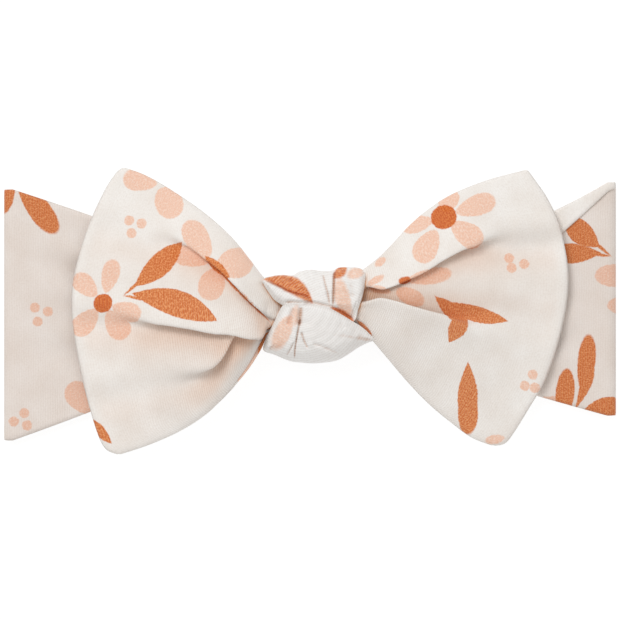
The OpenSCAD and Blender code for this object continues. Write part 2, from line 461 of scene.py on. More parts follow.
class Port:
    """A socket that can be used in an expression: each operator adds the node that works it out."""

    def __init__(self, shader: "Shader", socket: bpy.types.NodeSocket) -> None:
        """Wraps a socket of a shader's tree."""
        self.shader = shader
        self.socket = socket

    def _math(self, operation: str, *values: "Port | float") -> "Port":
        """Adds a Math node."""
        return self.shader.node("ShaderNodeMath", {"operation": operation}, dict(enumerate(values)))

    def __add__(self, other: "Port | float") -> "Port":
        """self + other."""
        return self._math("ADD", self, other)

    def __radd__(self, other: float) -> "Port":
        """other + self."""
        return self._math("ADD", other, self)

    def __sub__(self, other: "Port | float") -> "Port":
        """self - other."""
        return self._math("SUBTRACT", self, other)

    def __rsub__(self, other: float) -> "Port":
        """other - self."""
        return self._math("SUBTRACT", other, self)

    def __mul__(self, other: "Port | float") -> "Port":
        """self * other."""
        return self._math("MULTIPLY", self, other)

    def __rmul__(self, other: float) -> "Port":
        """other * self."""
        return self._math("MULTIPLY", other, self)

    def __truediv__(self, other: "Port | float") -> "Port":
        """self / other."""
        return self._math("DIVIDE", self, other)

    def __abs__(self) -> "Port":
        """The value without its sign."""
        return self._math("ABSOLUTE", self)

    def wave(self) -> "Port":
        """The sine of the value."""
        return self._math("SINE", self)

    def most(self, other: "Port | float") -> "Port":
        """The larger of two values."""
        return self._math("MAXIMUM", self, other)

    def within(self) -> "Port":
        """The value, kept from 0 to 1."""
        return self.shader.node("ShaderNodeClamp", {}, {"Value": self})

    def dot(self, x: float, y: float) -> "Port":
        """The vector's dot product with a flat direction."""
        return self.shader.node("ShaderNodeVectorMath", {"operation": "DOT_PRODUCT"},
                                {0: self, 1: (x, y, 0.0)}, "Value")

    def shifted(self, other: "Port | tuple[float, float, float]") -> "Port":
        """The vector with another added to it."""
        return self.shader.node("ShaderNodeVectorMath", {"operation": "ADD"}, {0: self, 1: other})

    def scaled(self, factor: float) -> "Port":
        """The vector, made longer or shorter."""
        return self.shader.node("ShaderNodeVectorMath", {"operation": "SCALE"}, {0: self, "Scale": factor})


class Shader:
    """One material's node tree."""

    def __init__(self, name: str) -> None:
        """Starts an empty material with a Principled shader."""
        self.material = bpy.data.materials.new(name)
        self.material.use_nodes = True
        self.tree = self.material.node_tree
        self.surface = self.tree.nodes["Principled BSDF"]

    def node(self, kind: str, settings: dict, inputs: dict, output: str | int = 0) -> Port:
        """Adds any node.

        Args:
            kind: Its type.
            settings: Its properties, set first.
            inputs: Values or ports, by socket name or number.
            output: The socket that is wanted from it.

        Returns:
            That socket.
        """
        made = self.tree.nodes.new(kind)
        for key, value in settings.items():
            setattr(made, key, value)
        for key, value in inputs.items():
            if isinstance(value, Port):
                self.tree.links.new(value.socket, made.inputs[key])
            else:
                made.inputs[key].default_value = value
        return Port(self, made.outputs[output])

    def flat(self, layer: str) -> Port:
        """The surface's flat coordinates from a layer, in millimetres."""
        return self.node("ShaderNodeUVMap", {"uv_map": layer}, {})

    def noise(self, at: Port, per_mm: float, detail: float = 2.0, rough: float = 0.5) -> Port:
        """Random mottling from 0 to 1."""
        return self.node("ShaderNodeTexNoise", {}, {"Vector": at, "Scale": per_mm, "Detail": detail,
                                                    "Roughness": rough})

    def mix(self, share: Port | float, first: Port | Colour, second: Port | Colour,
            blend: str = "MIX") -> Port:
        """A colour between two, or the first one shaded by the second.

        Args:
            share: How much of the second there is.
            first: The first colour.
            second: The second colour.
            blend: The Mix node's way of mixing.

        Returns:
            The colour.
        """
        made = self.tree.nodes.new("ShaderNodeMix")
        made.data_type = "RGBA"
        made.blend_type = blend
        for socket, value in ((made.inputs[0], share), (made.inputs[6], first), (made.inputs[7], second)):
            if isinstance(value, Port):
                self.tree.links.new(value.socket, socket)
            else:
                socket.default_value = value
        return Port(self, made.outputs[2])

    def feed(self, socket: str, value: Port | float | Colour) -> None:
        """Sets a socket of the Principled shader, or links to it.

        Args:
            socket: The socket's name.
            value: What it gets.
        """
        if isinstance(value, Port):
            self.tree.links.new(value.socket, self.surface.inputs[socket])
        else:
            self.surface.inputs[socket].default_value = value

    def emboss(self, height: Port, strength: float, distance: float) -> None:
        """Feeds a height to the Principled shader through a Bump node."""
        values = {"Strength": strength, "Distance": distance, "Height": height}
        self.feed("Normal", self.node("ShaderNodeBump", {}, values, "Normal"))


def rgb(red: float, green: float, blue: float) -> Colour:
    """A colour from its screen values of 0 to 255, as a shader takes it."""
    shares = [value / 255 for value in (red, green, blue)]
    linear = [v / 12.92 if v <= 0.04 else ((v + 0.055) / 1.055) ** 2.4 for v in shares]
    return (*linear, 1.0)


@dataclass(frozen=True)
class Mark:
    """One printed shape: its middle, the way it points, and its length and width.

    Swell makes its far end wider than its near end, and bend bows it to its left.
    """

    kind: MarkKind
    x: float
    y: float
    angle: float = 0.0
    length: float = 2.6
    width: float = 2.6
    swell: float = 0.0
    bend: float = 0.0
    narrowest: float = 0.2

    def mask(self, at: Port, edge: float) -> Port:
        """Where the mark is.

        Args:
            at: The cloth's flat coordinates.
            edge: How soft its edge is.

        Returns:
            1 on the mark and 0 off it.
        """
        c, s = math.cos(math.radians(self.angle)), math.sin(math.radians(self.angle))
        half, side = self.length / 2, self.width / 2
        along = at.dot(c / half, s / half) - (c * self.x + s * self.y) / half
        across = at.dot(-s, c) - (c * self.y - s * self.x)
        square = along * along
        if self.kind is MarkKind.LEAF:
            body = 1.0 - square
            if self.bend:
                across = across - body * self.bend
            reach = body * side
            if self.swell:
                reach = body * (along * (side * self.swell) + side).most(self.narrowest)
            inside = reach - abs(across)
        else:
            wide = side if not self.swell else along * (side * self.swell) + side
            ratio = across / wide
            inside = (1.0 - (square + ratio * ratio)) * (side / 2)
        return (inside / edge + 0.5).within()


def flower(x: float, y: float, heart: float, petals: list[tuple[float, float, float, float]]) -> list[Mark]:
    """A printed flower.

    Args:
        x: Its middle's X.
        y: Its middle's Y.
        heart: Its centre's radius, or 0 for none.
        petals: Each petal's direction in degrees, the distance of its middle, its length and its width.

    Returns:
        Its marks, the heart last.
    """
    petal_swell, heart_turn, heart_long, heart_wide = 0.28, 20.0, 2.1, 1.95
    marks = []
    for angle, reach, length, width in petals:
        a = math.radians(angle)
        marks.append(Mark(MarkKind.PETAL, x + reach * math.cos(a), y + reach * math.sin(a), angle,
                          length, width, petal_swell))
    if heart:
        marks.append(Mark(MarkKind.CENTRE, x, y, heart_turn, heart_long * heart, heart_wide * heart))
    return marks


def wild_flower(x: float, y: float, turn: float, big: bool) -> list[Mark]:
    """A printed flower with five even petals, the first at a turn in degrees."""
    heart, petal = (3.0, (8.2, 10.0, 5.6)) if big else (2.6, (6.8, 8.4, 4.8))
    return flower(x, y, heart, [(turn + 72 * k, *petal) for k in range(5)])


def petal(x: float, y: float, angle: float, length: float, width: float, swell: float = 0.0) -> Mark:
    """One printed petal."""
    return Mark(MarkKind.PETAL, x, y, angle, length, width, swell)


def leaf(start: Point, tip: Point, width: float, swell: float = 0.0, bend: float = 0.0) -> Mark:
    """A printed leaf from its stalk to its tip."""
    dx, dy = tip[0] - start[0], tip[1] - start[1]
    return Mark(MarkKind.LEAF, (start[0] + tip[0]) / 2, (start[1] + tip[1]) / 2,
                math.degrees(math.atan2(dy, dx)), math.hypot(dx, dy), width, swell, bend)


def blade(start: Point, tip: Point, width: float, swell: float = 0.0) -> Mark:
    """A printed leaf with a rounded tip, from its stalk to its tip."""
    return replace(leaf(start, tip, width, swell), kind=MarkKind.BLADE)


def sprig(start: Point, neck: Point, tip: Point, width: float, swell: float = 0.0,
          bend: float = 0.0) -> list[Mark]:
    """A printed leaf on a thin stalk: the stalk's start, the blade's start and its tip."""
    return [leaf(start, (neck[0] * 0.7 + tip[0] * 0.3, neck[1] * 0.7 + tip[1] * 0.3), 0.9),
            leaf(neck, tip, width, swell, bend)]


def dots(*places: Point) -> list[Mark]:
    """A cluster of printed dots."""
    return [Mark(MarkKind.DOT, x, y) for x, y in places]


@dataclass(frozen=True)
class PrintedKnit:
    """Cream jersey, printed with peach petals and rust leaves, with a warm painted shade laid in its folds.

    Wale and course are the pitch of its ribs and of its rows. The values per millimetre set how fine each
    kind of mottling is, and the covers how thick the ink lies.
    """

    name: str
    marks: tuple[Mark, ...] = ()
    ground: Colour = rgb(240, 237, 233)
    ground_shade: Colour = rgb(231, 224, 217)
    peach: Colour = rgb(235, 188, 162)
    peach_pale: Colour = rgb(243, 217, 202)
    rust: Colour = rgb(201, 101, 34)
    rust_pale: Colour = rgb(240, 168, 108)
    heart: Colour = rgb(196, 86, 14)
    heart_pale: Colour = rgb(224, 132, 62)
    # Colour of the painted shade in the grooves between the ribs.
    gap: Colour = rgb(200, 182, 170)
    # Colour that multiplies the cloth where painted fold shade lies.
    fold_tone: Colour = rgb(234, 186, 150)
    wale: float = 0.62
    course: float = 0.46
    print_edge: float = 0.26
    fray: float = 0.55
    fray_per_mm: float = 1.3
    grain_per_mm: float = 1.9
    fleck_per_mm: float = 2.1
    cloud_per_mm: float = 0.11
    wander_per_mm: float = 0.35
    peach_cover: float = 0.94
    rust_cover: float = 0.97
    sheen: tuple[float, float] = (0.12, 0.45)
    gloss: float = 0.2
    bump: tuple[float, float] = (0.5, 0.0001)

    def material(self) -> bpy.types.Material:
        """Builds the material.

        Returns:
            The material.
        """
        sh = Shader(self.name)
        flat, knit, fold = sh.flat(PRINT_LAYER), sh.flat(KNIT_LAYER), sh.flat(FOLD_SHADE_LAYER)
        deep, stretch = fold.dot(1.0, 0.0), fold.dot(0.0, 1.0)
        grain = sh.noise(knit, self.grain_per_mm, 3.0, 0.65)
        cloud = sh.noise(flat, self.cloud_per_mm, 3.0)
        wander = sh.noise(knit, self.wander_per_mm, 1.0)
        wale = (knit.dot(1.0, 0.0) * (2 * math.pi / self.wale) + wander * 5.0).wave()
        course = (knit.dot(0.0, 1.0) * (2 * math.pi / self.course) + wale * 1.4).wave()
        groove = wale * -0.5 + 0.5
        groove = groove * groove
        stitch = groove * (course * 0.3 + 0.7)

        colour = sh.mix((cloud * 2.0 - 0.5).within(), self.ground, self.ground_shade)
        colour = self.printed(sh, colour, flat, sh.noise(knit, self.fleck_per_mm, 2.0, 0.6), groove)
        # Painted shade in the grooves between the ribs, stronger where the knit is stretched.
        colour = sh.mix(stitch * (stretch * 0.42 + 0.07), colour, self.gap)
        colour = sh.mix((grain * 1.6 - 0.68).within() * 0.7, colour, self.ground_shade, "MULTIPLY")
        # Painted fold shade: the shade layer darkens and warms the colour, a little more along the grooves.
        dark = (deep * (groove * (stretch * 0.5) + 0.85)).within()
        colour = sh.mix(dark, colour, self.fold_tone, "MULTIPLY")

        sh.feed("Base Color", colour)
        sh.feed("Roughness", 0.84 + grain * 0.1)
        sh.feed("Sheen Weight", self.sheen[0])
        sh.feed("Sheen Roughness", self.sheen[1])
        sh.feed("Specular IOR Level", self.gloss)
        height = (wale * 0.5 + course * 0.15) * (stretch * 0.7 + 0.3) + grain * 0.8
        sh.emboss(height, *self.bump)
        return sh.material

    def printed(self, sh: Shader, ground: Port, flat: Port, fleck: Port, groove: Port) -> Port:
        """Lays the marks on the cloth's own colour, worn where the knit stands up.

        Args:
            sh: The material's tree.
            ground: The cloth's colour.
            flat: Its flat coordinates.
            fleck: The wear's mottling.
            groove: How deep each place lies between two ribs.

        Returns:
            The printed colour.
        """
        wobble = sh.node("ShaderNodeTexNoise", {}, {"Vector": flat, "Scale": self.fray_per_mm, "Detail": 3.0},
                         "Color")
        at = flat.shifted(wobble.shifted((-0.5, -0.5, -0.5)).scaled(self.fray))
        pale = ((fleck - 0.5) * 5.0 + 0.3).within()
        for kinds, full, faded, cover in (
            ((MarkKind.PETAL, MarkKind.DOT), self.peach, self.peach_pale, self.peach_cover),
            ((MarkKind.LEAF, MarkKind.BLADE), self.rust, self.rust_pale, self.rust_cover),
            ((MarkKind.CENTRE,), self.heart, self.heart_pale, self.rust_cover),
        ):
            areas = [mark.mask(at, self.print_edge) for mark in self.marks if mark.kind in kinds]
            if areas:
                ink = sh.mix(pale * 0.75 + groove * 0.12, full, faded)
                ground = sh.mix(reduce(Port.most, areas) * cover, ground, ink)
        return ground


@dataclass(frozen=True)
class BandKnit(PrintedKnit):
    """The same jersey on the band, whose painted fold shade is greyer."""

    fold_tone: Colour = rgb(206, 173, 156)


@dataclass(frozen=True)
class KnotKnit(PrintedKnit):
    """The same jersey pulled tight round the knot, drawn with a whiter ground and paler print as painted
    light: the knot stands highest and is lit brighter.
    """

    ground: Colour = rgb(241, 240, 238)
    ground_shade: Colour = rgb(234, 231, 228)
    gap: Colour = rgb(204, 192, 184)
    peach: Colour = rgb(236, 194, 170)
    peach_pale: Colour = rgb(244, 222, 209)
    fold_tone: Colour = rgb(214, 172, 144)
    print_edge: float = 0.7


@dataclass(frozen=True)
class Thread:
    """Matt sewing thread with a fine twist."""

    name: str = "sewing_thread"
    colour: Colour = rgb(242, 236, 230)
    shade: Colour = rgb(222, 212, 203)
    twists: Point = (14.0, 9.0)
    bump: tuple[float, float] = (0.4, 0.00004)

    def material(self) -> bpy.types.Material:
        """Builds the material.

        Returns:
            The material.
        """
        sh = Shader(self.name)
        twist = sh.flat(PRINT_LAYER).dot(*self.twists).wave() * 0.5 + 0.5
        sh.feed("Base Color", sh.mix(twist, self.colour, self.shade))
        sh.feed("Roughness", 0.6 + twist * 0.2)
        sh.emboss(twist, *self.bump)
        return sh.material


@dataclass(frozen=True)
class Elastic:
    """White ribbed elastic."""

    name: str = "ribbed_elastic"
    colour: Colour = rgb(244, 244, 242)
    # Colour of the painted shade in the grooves between the ribs.
    shade: Colour = rgb(214, 212, 208)
    rib_pitch: float = 1.1
    bump: tuple[float, float] = (0.6, 0.0002)

    def material(self) -> bpy.types.Material:
        """Builds the material.

        Returns:
            The material.
        """
        sh = Shader(self.name)
        place = sh.node("ShaderNodeTexCoord", {}, {}, "Object")
        rib = place.dot(0.0, 2 * math.pi / (self.rib_pitch * MM)).wave() * 0.5 + 0.5
        # Painted shade in the grooves between the ribs.
        sh.feed("Base Color", sh.mix(rib, self.shade, self.colour))
        sh.feed("Roughness", 0.55 + rib * 0.2)
        sh.emboss(rib, *self.bump)
        return sh.material


def dress(piece: bpy.types.Object, material: bpy.types.Material) -> None:
    """Gives a piece its material.

    Args:
        piece: The piece.
        material: Its material.
    """
    piece.data.materials.clear()
    piece.data.materials.append(material)


# ---------------------------------------------------------------- the bow's ears


@dataclass(frozen=True)
class Crease:
    """A fold that runs out from the knot, sharp at first and soft towards its end.

    Overlap is how far one side covers the other, rise how high it stands, and width how broad it is at the
    knot and at its end.
    """

    line: tuple[tuple[float, float], ...]
    over: Over
    overlap: float
    rise: float
    width: tuple[float, float]
    sharp: float = 0.5


@dataclass(frozen=True)
class Swell:
    """A soft hill or hollow in the cloth: its middle, its reach along and across, its turn and its height."""

    x: float
    y: float
    along: float
    across: float
    angle: float
    height: float

    def at(self, x: np.ndarray, y: np.ndarray) -> np.ndarray:
        """Its height at places.

        Args:
            x: The places' X values.
            y: Their Y values.

        Returns:
            The heights.
        """
        c, s = math.cos(math.radians(self.angle)), math.sin(math.radians(self.angle))
        a = ((x - self.x) * c + (y - self.y) * s) / self.along
        b = ((y - self.y) * c - (x - self.x) * s) / self.across
        return self.height * np.exp(-a * a - b * b)


@dataclass
class Ear:
    """One of the bow's ears: two plies, seamed round their edge and pleated into the knot."""

    side: Side
    root_edge: list[tuple[float, float]]
    upper_edge: list[tuple[float, float]]
    lower_edge: list[tuple[float, float]]
    end_edge: list[tuple[float, float]]
    creases: list[Crease]
    swells: list[Swell]
    marks: tuple[Mark, ...]
    back_marks: tuple[Mark, ...]
    # Lines where the ear goes under a wrap: its cloth dips there, with a painted contact shadow.
    under: list[tuple[tuple[float, float], ...]]
    steps_out: int = 110
    steps_across: int = 190
    thickness: float = PLY
    rim: float = 1.5
    root_z: float = 12.6
    root_half: float = 0.9
    end_clear: float = 1.1
    puff: float = 6.4
    flat_width: float = 76.0
    root_width: float = 44.0
    blend_out: tuple[float, float] = (-2.0, 9.0)
    sliver: float = 1.4
    # How strong the painted shade in the folds' hollows is.
    hollow_tint: float = 0.85
    plan: np.ndarray = field(init=False)

    def patch(self, out: int, across: int, grow: float = 0.0) -> np.ndarray:
        """The ear's outline, filled with a grid.

        Args:
            out: Grid steps from the knot to the end.
            across: Grid steps from the upper edge to the lower one.
            grow: How far the lower edge is let out, at the knot end.

        Returns:
            Plan places, out by across by two.
        """
        top = smooth_line(self.upper_edge, out)
        low = smooth_line(self.lower_edge, out)
        if grow:
            turn = np.gradient(low, axis=0)
            turn = np.stack([-turn[:, 1], turn[:, 0]], axis=1)
            turn /= np.linalg.norm(turn, axis=1, keepdims=True)
            turn *= np.sign(((low - top) * turn).sum(1, keepdims=True))
            share = np.linspace(0, 1, out)[:, None]
            low = low + grow * turn * smooth_step(share * 6) * (1 - smooth_step(share * 1.5))
        end = smooth_line([self.upper_edge[-1], *self.end_edge, self.lower_edge[-1]], across)
        v = np.linspace(0, 1, across)[None, :, None]
        u = np.linspace(0, 1, out)[:, None, None]
        start = smooth_line(self.root_edge, across)[None]
        ruled = top[:, None] * (1 - v) + low[:, None] * v
        ends = start * (1 - u) + end[None] * u
        corners = (top[0] * (1 - u) * (1 - v) + low[0] * (1 - u) * v
                   + end[0] * u * (1 - v) + end[-1] * u * v)
        return ruled + ends - corners

    def crease_track(self, crease: Crease) -> tuple[np.ndarray, float, float]:
        """Finds a crease's line on the grid.

        Args:
            crease: The crease.

        Returns:
            How far across it lies at each step out, and the shares of the way out where it starts and ends.
        """
        line = smooth_line(list(crease.line), 40)
        gaps = np.linalg.norm(self.plan[:, :, None, :] - line[None, None], axis=3)
        nu, nv = self.plan.shape[:2]
        best = gaps.reshape(nu * nv, -1).argmin(0)
        u = (best // nv) / (nu - 1)
        v = (best % nv) / (nv - 1)
        order = np.argsort(u, kind="stable")
        track = np.interp(np.linspace(0, 1, nu), u[order], v[order])
        kernel = np.ones(9) / 9
        track = np.convolve(np.pad(track, 4, mode="edge"), kernel, mode="valid")
        return track, float(u.min()), float(u.max())

    def front(self) -> Cloth:
        """The front ply, with its folds.

        Returns:
            The ply.
        """
        nu, nv = self.steps_out, self.steps_across
        plan = self.plan
        u, v = unit_grid(nu, nv)
        span = np.linalg.norm(plan[:, -1] - plan[:, 0], axis=1)[:, None]
        across = np.gradient(plan, axis=1) * (nv - 1)
        shift = np.zeros_like(u)
        height, shade = np.zeros_like(u), np.zeros_like(u)
        for crease in self.creases:
            track, first, last = self.crease_track(crease)
            t = np.clip((u - first) / max(last - first, 0.05), 0, 1)
            width = crease.width[0] * (1 - t) + crease.width[1] * t
            width = np.minimum(width, 0.12 * span + 0.3)
            start = smooth_step(u / 0.14 + 0.25)
            room = np.minimum(1.0, span / 20.0)
            fade = (1 - smooth_step((t - crease.sharp) / (1.05 - crease.sharp))) * room
            hold = (1 - smooth_step((t - crease.sharp) / (1.3 - crease.sharp))) * start
            lip = np.maximum(crease.overlap * fade - 0.7 * width, 0.0)
            xi = ((v - track[:, None]) * span + crease.over.value * lip) / width
            shape = fold_shape(xi)
            shift += crease.overlap * fade * smooth_step(u / 0.12 - 0.1) * shape / span
            height += crease.over.value * crease.rise * hold * shape
            # Painted shade under each lip, and a broad painted shade in the hollow beside it.
            covered = crease.over.value * xi
            shade += 0.42 * hold * np.exp(-(((covered - 1.3) / 0.8) ** 2))
            shade += 0.16 * self.hollow_tint * hold * np.exp(-(((covered - 2.4) / 1.3) ** 2))
        x, y = plan[..., 0], plan[..., 1]
        for swell in self.swells:
            height += swell.at(x, y)
        # Where the ear goes under a wrap its cloth dips, and a painted contact shadow runs along the wrap's
        # edge.
        for line in self.under:
            gap = np.abs(distance_to_line(x, y, smooth_line(list(line), 30))[0])
            height -= 0.6 * np.exp(-((gap / 1.0) ** 2))
            shade += 1.4 * np.exp(-((gap / 0.4) ** 2)) + 0.2 * np.exp(-((gap / 1.3) ** 2))
        pleats = np.sin(v * 2 * math.pi * 6 + 2.2 * np.sin(v * 9 + u * 3)) * np.exp(-(u / 0.2) ** 2)
        height += 0.14 * pleats * np.minimum(1.0, span / 20)
        height += 0.22 * soft_noise(x, y, 9.0, 3) + 0.12 * soft_noise(x, y, 4.0, 4) * smooth_step(u * 3)
        edge = self.edge_distance(u, v, span)
        height *= round_rise(edge / 5.0)
        body = self.middle(u) + self.swelling(u, v) * round_rise(edge / self.rim)
        moved = plan + across * shift[..., None] * round_rise(edge / 4.0)[..., None]
        points = np.dstack([moved, body + height])
        stretch = np.clip(1.15 - 1.1 * u, 0, 1) * smooth_step((v - 0.3) / 0.4) + np.exp(-(u / 0.3) ** 2) * 0.5
        # Painted shade fades out near the seamed edge.
        clear = smooth_step((edge - 0.5) / 3.0)
        return Cloth(points, moved, self.knit_places(u, v), np.clip(stretch, 0, 1), shade * clear,
                     clear * self.hollow_tint)

    def back(self) -> Cloth:
        """The back ply, which shows as a sliver along the lower edge near the knot.

        Returns:
            The ply.
        """
        nu, nv = self.steps_out * 2 // 3, self.steps_across // 2
        plan = self.patch(nu, nv, grow=self.sliver)
        u, v = unit_grid(nu, nv)
        span = np.linalg.norm(plan[:, -1] - plan[:, 0], axis=1)[:, None]
        x, y = plan[..., 0], plan[..., 1]
        edge = self.edge_distance(u, v, span)
        folds = 0.8 * np.sin(v * math.pi * 7 + 1.1) * np.exp(-((u - 0.1) / 0.4) ** 2)
        folds += 0.25 * soft_noise(x, y, 11.0, 8)
        drop = 0.35 + 0.6 * self.swelling(u, v) * smooth_step(edge / 9.0)
        z = self.middle(u) - drop + folds * smooth_step(edge / 7.0)
        floor = self.floor_z() + self.thickness
        z = np.maximum(z, floor + 0.15 * soft_noise(x, y, 13.0, 9))
        points = np.dstack([plan, z])[:, ::-1]
        flat = plan[:, ::-1]
        return Cloth(points, flat, self.knit_places(u, v)[:, ::-1], 0.5, fold_depth=3.0)

    def edge_distance(self, u: np.ndarray, v: np.ndarray, span: np.ndarray) -> np.ndarray:
        """How far grid places are from the seamed edge."""
        length = self.reach()
        return np.minimum(np.minimum(v, 1 - v) * span, (1 - u) * length)

    def reach(self) -> float:
        """The ear's length from knot to end."""
        middle = self.plan[:, self.steps_across // 2]
        return float(np.linalg.norm(middle[-1] - middle[0]))

    def floor_z(self) -> float:
        """The height of the band's upper face, which the ear's end rests over."""
        return float(box_mm(f"{self.side.word}_ear_back")[0][2]) - 0.3

    def middle(self, u: np.ndarray) -> np.ndarray:
        """Height of the ear's middle surface."""
        end = self.floor_z() + self.end_clear
        return self.root_z + (end - self.root_z) * (0.55 * u + 0.45 * smooth_step(u))

    def swelling(self, u: np.ndarray, v: np.ndarray) -> np.ndarray:
        """How far the front ply stands above the middle surface.

        Args:
            u: How far out the places lie.
            v: How far across they lie.

        Returns:
            The heights.
        """
        across = np.abs(2 * v - 1)
        tube = np.sqrt(np.clip(1 - across**2, 0, 1))
        pillow = 1 - across**2.6
        share = smooth_step(u / 0.3)
        shape = tube * (1 - share) + pillow * share
        grow = self.root_half * (1 - smooth_step(u / 0.3)) + self.puff * smooth_step(u / 0.32)
        fall = 1 - smooth_step((u - 0.22) / 0.78) ** 0.8
        return 0.5 + shape * grow * fall + 0.5 * shape

    def knit_places(self, u: np.ndarray, v: np.ndarray) -> np.ndarray:
        """Flat coordinates of the knit: along the strip, and across it.

        Args:
            u: How far out the places lie.
            v: How far across they lie.

        Returns:
            The coordinates.
        """
        along = u * (self.reach() + 3.0)
        wide = self.root_width + (self.flat_width - self.root_width) * smooth_step(u * 1.4)
        return np.dstack([along, (v - 0.5) * wide])

    def seam(self) -> list[np.ndarray]:
        """The seam's stitches, which draw the two plies' edges together.

        Returns:
            Each stitch's centre line.
        """
        cloth = self.front_cloth.points
        start = self.steps_out // 4
        rim = np.vstack([cloth[start:, 0], cloth[-1], cloth[:start:-1, -1]])
        run = np.concatenate([[0], np.cumsum(np.linalg.norm(np.diff(rim, axis=0), axis=1))])
        pitch, length = 2.2, 1.5
        paths = []
        for at in np.arange(1.0, run[-1] - 2.0, pitch):
            along = np.linspace(at, at + length, 5)
            stitch = np.stack([np.interp(along, run, rim[:, k]) for k in range(3)], axis=1)
            stitch[:, 2] -= 0.5
            stitch[:, :2] *= 1.0 - 0.35 / np.linalg.norm(stitch[:, :2], axis=1, keepdims=True)
            paths.append(stitch)
        return paths

    def build(self, thread: bpy.types.Material) -> list[bpy.types.Object]:
        """Makes the ear's pieces.

        Args:
            thread: The sewing thread's material.

        Returns:
            The pieces.
        """
        word = self.side.word
        self.plan = self.patch(self.steps_out, self.steps_across)
        self.front_cloth = self.front()
        front = self.front_cloth.piece(f"{word}_ear_front_ply", self.thickness)
        back = self.back().piece(f"{word}_ear_back_ply", self.thickness)
        seam = tube_piece(f"{word}_ear_seam_stitches", self.seam(), 0.14, 6)
        dress(front, PrintedKnit(f"{word}_ear_front_knit", self.marks).material())
        dress(back, PrintedKnit(f"{word}_ear_back_knit", self.back_marks).material())
        dress(seam, thread)
        hinge = joint_x(f"{word}_ear_lift")
        near, far = self.blend_out
        begin = (MM * (hinge + self.side.value * near), 0.0, self.root_z * MM)
        finish = (MM * (hinge + self.side.value * far), 0.0, self.root_z * MM)
        for piece in (front, back):
            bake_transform(piece)
        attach(seam, f"{word}_ear")
        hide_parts(f"{word}_ear_front", f"{word}_ear_gather")
        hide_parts(f"{word}_ear_back")
        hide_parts(f"{word}_ear_seam")
        flat = (self.flat_width * MM, (self.reach() + 3.0) * MM)
        cut = 0.5 * (self.root_width + self.flat_width) * (self.reach() + 3.0) * MM * MM
        return [front, back, seam]


# ---------------------------------------------------------------- the knot


@dataclass(frozen=True)
class Pleat:
    """A groove in the knot's cloth: its line, depth and width, and how much higher its left side is."""

    line: tuple[tuple[float, float], ...]
    depth: float
    width: float
    step: float = 0.0


